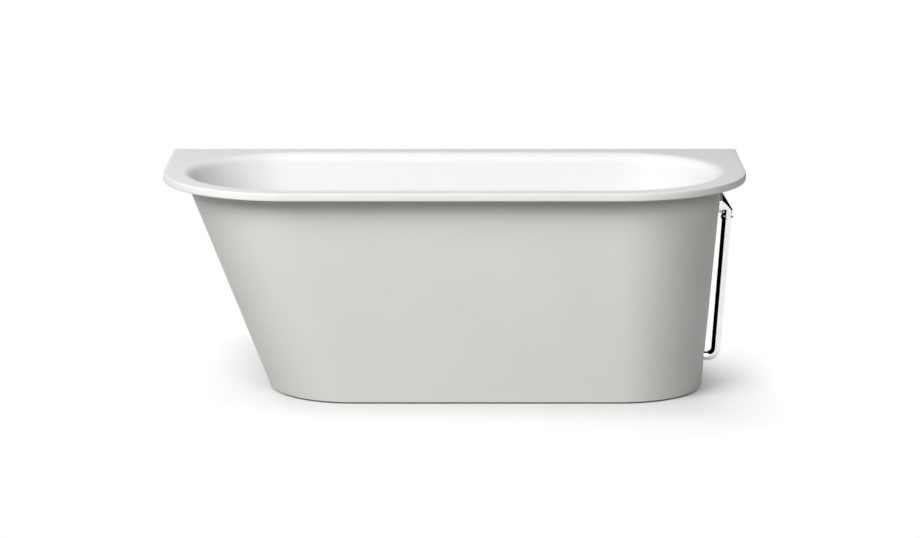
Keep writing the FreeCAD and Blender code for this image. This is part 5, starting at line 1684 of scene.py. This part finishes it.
    def weld(self, piece: bpy.types.Object) -> None:
        """Joins points that fall together and turns all faces outwards.

        Args:
            piece: The piece.
        """
        work = bmesh.new()
        work.from_mesh(piece.data)
        bmesh.ops.remove_doubles(work, verts=work.verts[:], dist=self.weld_gap)
        bmesh.ops.recalc_face_normals(work, faces=work.faces[:])
        work.to_mesh(piece.data)
        work.free()
        piece.data.set_sharp_from_angle(angle=math.radians(self.grid_crease))

    def build_screw(self) -> None:
        """Makes the grid's screw, with a rounded head sunk at its middle for the driver."""
        head, height = self.screw_head_radius, self.screw_head_height
        slope = self.drive_slope
        profile = rounded_profile([
            (0.0, -height + self.drive_depth, 0.0),
            (self.drive_radius - slope, -height + self.drive_depth - slope, slope),
            (self.drive_radius, -height, slope),
            (head, -height, self.screw_head_round),
            (head, 0.0, 0.0),
            (self.screw_radius, 0.0, 0.0),
            (self.screw_radius, self.screw_length - self.screw_radius, 0.0),
            (0.0, self.screw_length, 0.0),
        ])
        shape = Shape()
        seat = self.axis.point(-self.axis.tub_depth - self.grid_seal - self.grid_thickness)
        turned(shape, profile, seat, self.axis.outward, self.screw_count)
        piece = shape.object("rose_screw", [CHROME], self.grid_crease)
        fit(piece, Body.BATH.value, CHROME.slot, "overflow_grid_screw")

    def build(self) -> None:
        """Makes all the overflow's new pieces."""
        self.build_elbow()
        self.build_collar()
        self.build_pipe()
        self.build_grid()
        self.build_screw()


@dataclass(frozen=True)
class Plug:
    """Push plug over the waste: a crowned chrome cap, and the coil spring under its stem."""

    x: float = 0.590
    level: float = 0.1759
    radius: float = 0.030
    edge_height: float = 0.003
    crown: float = 0.0035
    boss_radius: float = 0.008
    boss_drop: float = 0.0045
    stem_fit: float = 0.0043
    stem_top: float = 0.1764
    push: float = 0.008
    spring_base: float = 0.1324
    spring_length: float = 0.022
    spring_reach: float = 0.00365
    spring_wire: float = 0.00045
    spring_turns: int = 8
    spring_turn_steps: int = 28
    wire_count: int = 10
    soft_edge: float = 0.0009
    soft_angle: float = 70.0
    soft_steps: int = 6
    crown_steps: int = 25
    under_edge: float = 0.0004
    ring_count: int = 96
    cap_crease: float = 30.0
    spring_crease: float = 50.0

    def build(self) -> None:
        """Makes the cap and its spring."""
        self.build_cap()
        self.build_spring()

    def build_spring(self) -> None:
        """Makes the spring: a ring carried along a helix, at one length; it is not made to shorten as the
        plug goes down.
        """
        share = shares(self.spring_turn_steps * self.spring_turns)[:, None]
        turn = 2 * np.pi * self.spring_turns * share
        spoke = np.cos(turn) * X_AXIS + np.sin(turn) * Y_AXIS
        around = np.cos(turn) * Y_AXIS - np.sin(turn) * X_AXIS
        rise = self.spring_length - 2 * self.spring_wire
        slope = rise / (2 * np.pi * self.spring_turns * self.spring_reach)
        over = (Z_AXIS - slope * around) / math.hypot(1.0, slope)
        low = np.array([self.x, 0.0, self.spring_base + self.spring_wire])
        middle = low + self.spring_reach * spoke + rise * share * Z_AXIS
        angle = full_turn(self.wire_count)[None, :, None]
        ring = np.cos(angle) * spoke[:, None] + np.sin(angle) * over[:, None]
        shape = Shape()
        numbers = shape.rings(middle[:, None] + self.spring_wire * ring)
        for end in (0, -1):
            shape.fan(numbers[end], middle[end])
        piece = shape.object("plug_coil", [ZINC], self.spring_crease)
        fit(piece, Body.BATH.value, ZINC.slot, "plug_spring")
        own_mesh(piece)

    def build_cap(self) -> None:
        """Makes the cap: a crown that is part of a ball, a soft edge, and a boss for the stem."""
        ball = (self.radius ** 2 + self.crown ** 2) / (2 * self.crown)
        soft = self.soft_edge
        out = np.linspace(0, self.radius - soft, self.crown_steps + 1)
        crown = np.stack([out, self.edge_height + self.crown - ball + np.sqrt(ball ** 2 - out ** 2)], -1)
        bend = arc_steps(self.soft_angle, 0, self.soft_steps)
        middle = np.array([self.radius - soft, crown[-1, 1] - soft])
        edge = middle + soft * np.stack([np.cos(bend), np.sin(bend)], -1)
        stem_top = self.stem_top - self.level
        under = np.array([
            [self.radius, self.under_edge],
            [self.radius - self.under_edge, 0.0],
            [self.boss_radius, 0.0],
            [self.boss_radius, -self.boss_drop],
            [self.stem_fit, -self.boss_drop],
            [self.stem_fit, stem_top],
            [0.0, stem_top],
        ])
        shape = Shape()
        base = np.array([self.x, 0.0, self.level])
        turned(shape, np.concatenate([crown, edge, under]), base, Z_AXIS, self.ring_count)
        piece = shape.object("plug_dome", [CHROME], self.cap_crease)
        fit(piece, Body.PLUG.value, CHROME.slot, "plug_cap")


@dataclass(frozen=True)
class LevellingFoot:
    """One foot: a ribbed black pad and a threaded stud with a spanner hexagon.

    Attributes:
        name: End of its nodes' names.
        x: Place along the bath.
        y: Place across the bath.
        top: Level of the stud's upper end.
    """

    name: str
    x: float
    y: float
    top: float
    pad_radius: float = 0.025
    pad_edge: float = 0.006
    pad_height: float = 0.016
    hub_radius: float = 0.011
    socket_floor: float = 0.005
    stud_radius: float = 0.005
    stud_fit: float = 0.0001
    hex_flats: float = 0.014
    hex_height: float = 0.006
    thread_pitch: float = 0.0015
    thread_depth: float = 0.0007
    thread_chamfer: float = 0.001
    thread_rows: int = 4
    rod_count: int = 20
    ribs: int = 24
    rib_count: int = 8
    rib_depth: float = 0.0009
    pad_rounds: tuple[float, float, float, float] = (0.0006, 0.0014, 0.0012, 0.0004)
    pad_crease: float = 40.0
    hex_bevel: tuple[tuple[float, float], ...] = ((0.0, 0.95), (0.00025, 0.97), (0.001, 1.0))
    hex_count: int = 72
    stud_crease: float = 28.0

    @property
    def body(self) -> str:
        """Body that pad and stud ride on."""
        return "levelling_foot_" + self.name

    def add_round(self, shape: Shape, reach: np.ndarray, turn: np.ndarray, level: np.ndarray) -> None:
        """Adds rings about the foot's axis, reach by the cosine and sine of the turn, closed at both ends.

        Args:
            shape: Shape to add to.
            reach: Distance from the axis, rings by points.
            turn: Turn of each point, in radians.
            level: Level of each ring, rings by 1.
        """
        level = np.broadcast_to(level, reach.shape)
        rings = np.stack([self.x + reach * np.cos(turn), self.y + reach * np.sin(turn), level], -1)
        numbers = shape.rings(rings)
        for end in (0, -1):
            shape.fan(numbers[end], np.array([self.x, self.y, level[end, 0]]))

    def build_pad(self) -> None:
        """Makes the pad: a turned form whose edge swells in and out round its ribs."""
        socket = self.stud_radius + self.stud_fit
        foot, edge, hub, mouth = self.pad_rounds
        ring = rounded_profile([
            (0.0, 0.0, 0.0),
            (self.pad_radius, 0.0, foot),
            (self.pad_radius, self.pad_edge, edge),
            (self.hub_radius, self.pad_height, hub),
            (socket, self.pad_height, mouth),
            (socket, self.socket_floor, 0.0),
            (0.0, self.socket_floor, 0.0),
        ])[1:-1]
        turn = full_turn(self.ribs * self.rib_count)
        wave = 0.5 + 0.5 * np.cos(turn * self.ribs)
        depth = np.clip((ring[:, :1] - self.hub_radius) / (self.pad_radius - self.hub_radius), 0, 1)
        reach = ring[:, :1] - self.rib_depth * depth ** 3 * wave
        shape = Shape()
        self.add_round(shape, reach, turn, ring[:, 1:])
        piece = shape.object("pad_" + self.name, [BLACK_PLASTIC], self.pad_crease)
        fit(piece, self.body, BLACK_PLASTIC.slot, "foot_pad_" + self.name)

    def add_rod(self, shape: Shape, low: float, high: float, threaded: bool) -> None:
        """Adds a rod: its radius falls by the thread's depth in a sharp wave that climbs with the turn.

        Args:
            shape: Shape to add to.
            low: Level of its lower end.
            high: Level of its upper end.
            threaded: Cut a thread, with a chamfer at both ends.
        """
        rows = int(round((high - low) / self.thread_pitch * self.thread_rows)) if threaded else 2
        level = np.linspace(low, high, rows)[:, None]
        turn = full_turn(self.rod_count)[None]
        phase = (level / self.thread_pitch - turn / (2 * np.pi)) % 1.0
        cut = self.thread_depth * (1 - np.abs(2 * phase - 1))
        chamfer = np.clip(self.thread_chamfer - np.minimum(level - low, high - level), 0, None)
        reach = self.stud_radius - np.maximum(cut, chamfer) * threaded
        self.add_round(shape, reach, turn, level)

    def build_stud(self) -> None:
        """Makes the stud: plain foot, hexagon with turned-off corners, and threaded shank."""
        shape = Shape()
        base = self.pad_height
        self.add_rod(shape, self.socket_floor, base, False)
        self.add_rod(shape, base + self.hex_height, self.top, True)
        turn = full_turn(self.hex_count)
        sector = (turn + np.pi / 6) % (np.pi / 3) - np.pi / 6
        half = self.hex_flats / 2
        bevel = np.array(self.hex_bevel)
        heights = np.concatenate([bevel[:, 0], self.hex_height - bevel[::-1, 0]])
        limit = np.concatenate([bevel[:, 1], bevel[::-1, 1]]) * half / math.cos(math.pi / 6)
        reach = np.minimum(half / np.cos(sector), np.maximum(limit[:, None], half))
        self.add_round(shape, reach, turn, base + heights[:, None])
        piece = shape.object("stud_" + self.name, [ZINC], self.stud_crease)
        fit(piece, self.body, ZINC.slot, "foot_stud_" + self.name)

    def build(self) -> None:
        """Makes pad and stud."""
        self.build_pad()
        self.build_stud()


@dataclass(frozen=True)
class Underframe:
    """The five levelling feet under rails and board."""

    rail_x: float = 0.31789
    spread: float = 0.20517
    rail_stud_top: float = 0.166
    centre_stud_top: float = 0.156

    def build(self) -> None:
        """Makes the five feet."""
        for end, x in ((End.HEAD, -self.rail_x), (End.FOOT, self.rail_x)):
            for side, y in (("front", -self.spread), ("back", self.spread)):
                LevellingFoot(end.value + "_" + side, x, y, self.rail_stud_top).build()
        LevellingFoot("centre", 0.0, 0.0, self.centre_stud_top).build()


class CarriedNodes:
    """CAD nodes that keep their own shape under a better finish."""

    FINISHES: Mapping[str, Finish] = {
        finish.slot: finish
        for finish in (ACRYLIC, SAGE, BOARD, CHROME, RUBBER, ZINC, BRASS, WHITE_PLASTIC, BLACK_PLASTIC)
    }

    def dress(self) -> None:
        """Gives every CAD node the finish of its slot."""
        for name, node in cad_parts.items():
            for holder in node.material_slots:
                slot = holder.material.name.split(".")[0]
                if slot in self.FINISHES:
                    holder.material = self.FINISHES[slot].material()
                else:
                    LOG.warning("%s has no finish for %s", name, slot)


@dataclass(frozen=True)
class Lamp:
    """A soft rectangular lamp that faces the middle of the bath.

    Attributes:
        name: Name of the lamp.
        turn: Turn from straight in front towards the right, in degrees.
        rise: Rise above the level, in degrees.
        distance: Distance from the bath's middle.
        width: Its width.
        height: Its height.
        watts: Its power.
        mirrored: Gloss shows it.
        aim: Point that it faces.
    """

    name: str
    turn: float
    rise: float
    distance: float
    width: float
    height: float
    watts: float
    mirrored: bool = True
    aim: tuple[float, float, float] = (0.0, 0.0, 0.3)

    def hang(self) -> None:
        """Hangs the lamp."""
        light = bpy.data.lights.new(self.name, "AREA")
        light.shape = "RECTANGLE"
        light.size, light.size_y = self.width, self.height
        light.energy = self.watts
        lamp = bpy.data.objects.new(self.name, light)
        bpy.context.scene.collection.objects.link(lamp)
        turn, rise = math.radians(self.turn), math.radians(self.rise)
        away = np.array([math.sin(turn) * math.cos(rise), -math.cos(turn) * math.cos(rise), math.sin(rise)])
        lamp.location = np.array(self.aim) + self.distance * away
        lamp.rotation_euler = (math.pi / 2 - rise, 0.0, turn)
        lamp.visible_glossy = self.mirrored


@dataclass(frozen=True)
class Studio:
    """Pale floor, soft lamps, white surround, cards for the chrome, and the camera.

    Attributes:
        surround: Strength of the surround where it lights the bath.
        floor_colour: Tone of the floor where it lights the bath.
        floor_white: Tone of the floor where it is seen.
        contact_shade: How far the floor darkens under the bath.
        contact_reach: Distance over which it does.
        bath_middle: Middle of the floor that keeps the bath's shadow.
        bath_half: Half the size of that floor.
        shade_end: Distances outside it from which the shadow fades and at which it is gone.
        foot_side: Places along the bath between which the shadow beside the foot end begins to fade.
        wall_side: Places across the bath over which it fades there, towards the wall.
        card_line: Corners of the cards behind and beside the bath, seen from above.
        card_tones: Tone of each card.
        card_levels: Lower and upper level of the cards.
        flag_corners: Corners of the flag between the skirt and the overflow pipe.
    """

    lens: float = 133.81
    sensor: float = 36.0
    camera_place: tuple[float, float, float] = (0.01574, -9.8411, 2.3835)
    camera_pitch: float = 78.22
    camera_reach: float = 100.0
    surround: float = 0.15
    floor_reach: float = 30.0
    floor_colour: float = 0.34
    floor_white: float = 0.97
    contact_shade: float = 0.56
    contact_reach: float = 0.3
    contact_samples: int = 8
    bath_middle: tuple[float, float, float] = (0.105, 0.0, 0.0)
    bath_half: tuple[float, float, float] = (0.575, 0.42, 1.0)
    shade_end: tuple[float, float] = (0.0, 0.27)
    foot_side: tuple[float, float] = (0.70, 0.75)
    wall_side: tuple[float, float] = (-0.02, 0.40)
    card_line: tuple[tuple[float, float], ...] = ((-3.0, 2.3), (1.2, 2.3), (2.6, 2.3), (2.6, 0.1))
    card_tones: tuple[float, ...] = (0.4, 0.0, 0.0)
    card_levels: tuple[float, float] = (0.15, 2.4)
    flag_corners: tuple[tuple[float, float, float], ...] = (
        (0.7332, -0.09, 0.08),
        (0.7332, 0.25, 0.08),
        (0.7726, 0.25, 0.53),
        (0.7726, -0.09, 0.53),
    )
    key: Lamp = Lamp("key", -45.0, 40.0, 9.0, 5.0, 5.0, 742.0)
    fill: Lamp = Lamp("fill", 16.0, 33.0, 9.0, 4.0, 4.0, 250.0)
    back: Lamp = Lamp("back", -155.0, 16.0, 9.0, 4.0, 4.0, 150.0, mirrored=False)

    def seen_white(self, graph: Graph) -> Socket:
        """Tells the rays that show the surround itself: from the camera, in gloss and through glass.

        Args:
            graph: Graph of a material or of the world.

        Returns:
            1 on those rays and 0 on others.
        """
        outputs = ("Is Camera Ray", "Is Glossy Ray", "Is Transmission Ray")
        seen, gloss, through = (graph.add("ShaderNodeLightPath", output=name) for name in outputs)
        return seen | gloss | through

    def light_world(self) -> None:
        """Makes the surround: white where it is seen, grey where it lights the bath."""
        world = bpy.data.worlds.new("surround")
        bpy.context.scene.world = world
        world.use_nodes = True
        graph = Graph(world.node_tree)
        strength = self.surround + (1 - self.surround) * self.seen_white(graph)
        light = graph.add("ShaderNodeBackground", {}, {"Color": (1, 1, 1, 1), "Strength": strength})
        graph.add("ShaderNodeOutputWorld", {}, {"Surface": light})

    def plane(self, name: str, corners: Sequence[Sequence[float]]) -> tuple[bpy.types.Object, Graph]:
        """Makes a four-cornered piece of the stage.

        Args:
            name: Name of the piece.
            corners: Its four corners in order.

        Returns:
            The object and the empty graph of its material.
        """
        mesh = bpy.data.meshes.new(name)
        mesh.from_pydata([list(corner) for corner in corners], [], [(0, 1, 2, 3)])
        made = bpy.data.objects.new(name, mesh)
        bpy.context.scene.collection.objects.link(made)
        paint = bpy.data.materials.new(name)
        paint.use_nodes = True
        mesh.materials.append(paint)
        return made, Graph(paint.node_tree)

    def one_sided(self, graph: Graph, cover: Socket) -> None:
        """Ends a stage material in a shader that shows on the face's front and is clear from behind.

        Args:
            graph: Graph of the material.
            cover: Shader of the front.
        """
        behind = graph.add("ShaderNodeNewGeometry", output="Backfacing")
        clear = graph.add("ShaderNodeBsdfTransparent")
        mixed = graph.add("ShaderNodeMixShader", {}, {0: behind, 1: cover, 2: clear})
        graph.add("ShaderNodeOutputMaterial", {}, {"Surface": mixed})

    def lay_floor(self) -> None:
        """Lays a wide pale floor that keeps the bath's shadow, fades to white and is clear from below."""
        low, high = -self.floor_reach, self.floor_reach
        corners = [(low, low, 0), (high, low, 0), (high, high, 0), (low, high, 0)]
        _, graph = self.plane("studio_floor", corners)
        seen = self.seen_white(graph)
        place = graph.add("ShaderNodeTexCoord", output="Object")
        beside = graph.vector("ABSOLUTE", graph.vector("SUBTRACT", place, self.bath_middle))
        past = graph.vector("MAXIMUM", graph.vector("SUBTRACT", beside, self.bath_half), (0.0, 0.0, 0.0))
        away = graph.add("ShaderNodeVectorMath", {"operation": "LENGTH"}, {0: past}, "Value")
        # Painted shade: ambient occlusion darkens the floor's seen colour near the bath, on top of the shadow
        # that the lamps cast.
        settings, inputs = {"samples": self.contact_samples}, {"Distance": self.contact_reach}
        open_sky = graph.add("ShaderNodeAmbientOcclusion", settings, inputs, "AO")
        shown = self.floor_white * (1 - self.contact_shade * (1 - open_sky))
        tone = seen * shown + (1 - seen) * self.floor_colour
        cover = graph.add("ShaderNodeBsdfDiffuse", {}, {"Color": tone})
        white = graph.add("ShaderNodeEmission", {}, {"Strength": 1.0})
        along = graph.add("ShaderNodeSeparateXYZ", {}, {0: place}, "X")
        across = graph.add("ShaderNodeSeparateXYZ", {}, {0: place}, "Y")
        shaded = 1 - along.band(*self.foot_side) * across.band(*self.wall_side)
        share = (1 - (1 - away.band(*self.shade_end)) * shaded) * seen
        mixed = graph.add("ShaderNodeMixShader", {}, {0: share, 1: cover, 2: white})
        self.one_sided(graph, mixed)

    def stand_cards(self) -> None:
        """Stands a grey card behind the bath and black ones round its foot end, which only gloss mirrors."""
        low, high = self.card_levels
        for index, ((x, y), (next_x, next_y)) in enumerate(zip(self.card_line, self.card_line[1:])):
            corners = [(x, y, low), (next_x, next_y, low), (next_x, next_y, high), (x, y, high)]
            card, graph = self.plane(f"dark_card_{index}", corners)
            glow = graph.add("ShaderNodeEmission", {}, {"Strength": self.card_tones[index]})
            graph.add("ShaderNodeOutputMaterial", {}, {"Surface": glow})
            self.hide_from_view(card)

    def hang_flag(self) -> None:
        """Hangs a black flag beside the overflow pipe, one-sided, so that only the pipe mirrors it."""
        flag, graph = self.plane("pipe_flag", self.flag_corners)
        self.one_sided(graph, graph.add("ShaderNodeEmission", {}, {"Strength": 0.0}))
        self.hide_from_view(flag)

    @staticmethod
    def hide_from_view(card: bpy.types.Object) -> None:
        """Leaves a card to gloss alone: no camera sees it, and it casts no light or shadow.

        Args:
            card: The card.
        """
        card.visible_camera = False
        card.visible_diffuse = False
        card.visible_shadow = False

    def set_camera(self) -> None:
        """Sets the camera at the photograph's angle."""
        camera = bpy.data.cameras.new("view")
        camera.lens = self.lens
        camera.sensor_width = self.sensor
        camera.clip_end = self.camera_reach
        holder = bpy.data.objects.new("view", camera)
        bpy.context.scene.collection.objects.link(holder)
        holder.location = self.camera_place
        holder.rotation_euler = (math.radians(self.camera_pitch), 0.0, 0.0)
        bpy.context.scene.camera = holder

    def build(self) -> None:
        """Sets up the whole studio."""
        self.light_world()
        self.lay_floor()
        self.stand_cards()
        self.hang_flag()
        for lamp in (self.key, self.fill, self.back):
            lamp.hang()
        self.set_camera()
        bpy.context.scene.view_settings.view_transform = "Standard"


def main() -> None:
    """Builds the bath's sub-assemblies in order and dresses what stays of the CAD model."""
    logging.basicConfig(level=logging.INFO, format="%(message)s")
    CarriedNodes().dress()
    TubShell().build()
    SkirtPanel().build()
    Overflow().build()
    Plug().build()
    Underframe().build()
    Studio().build()


if __name__ == "__main__":
    main()
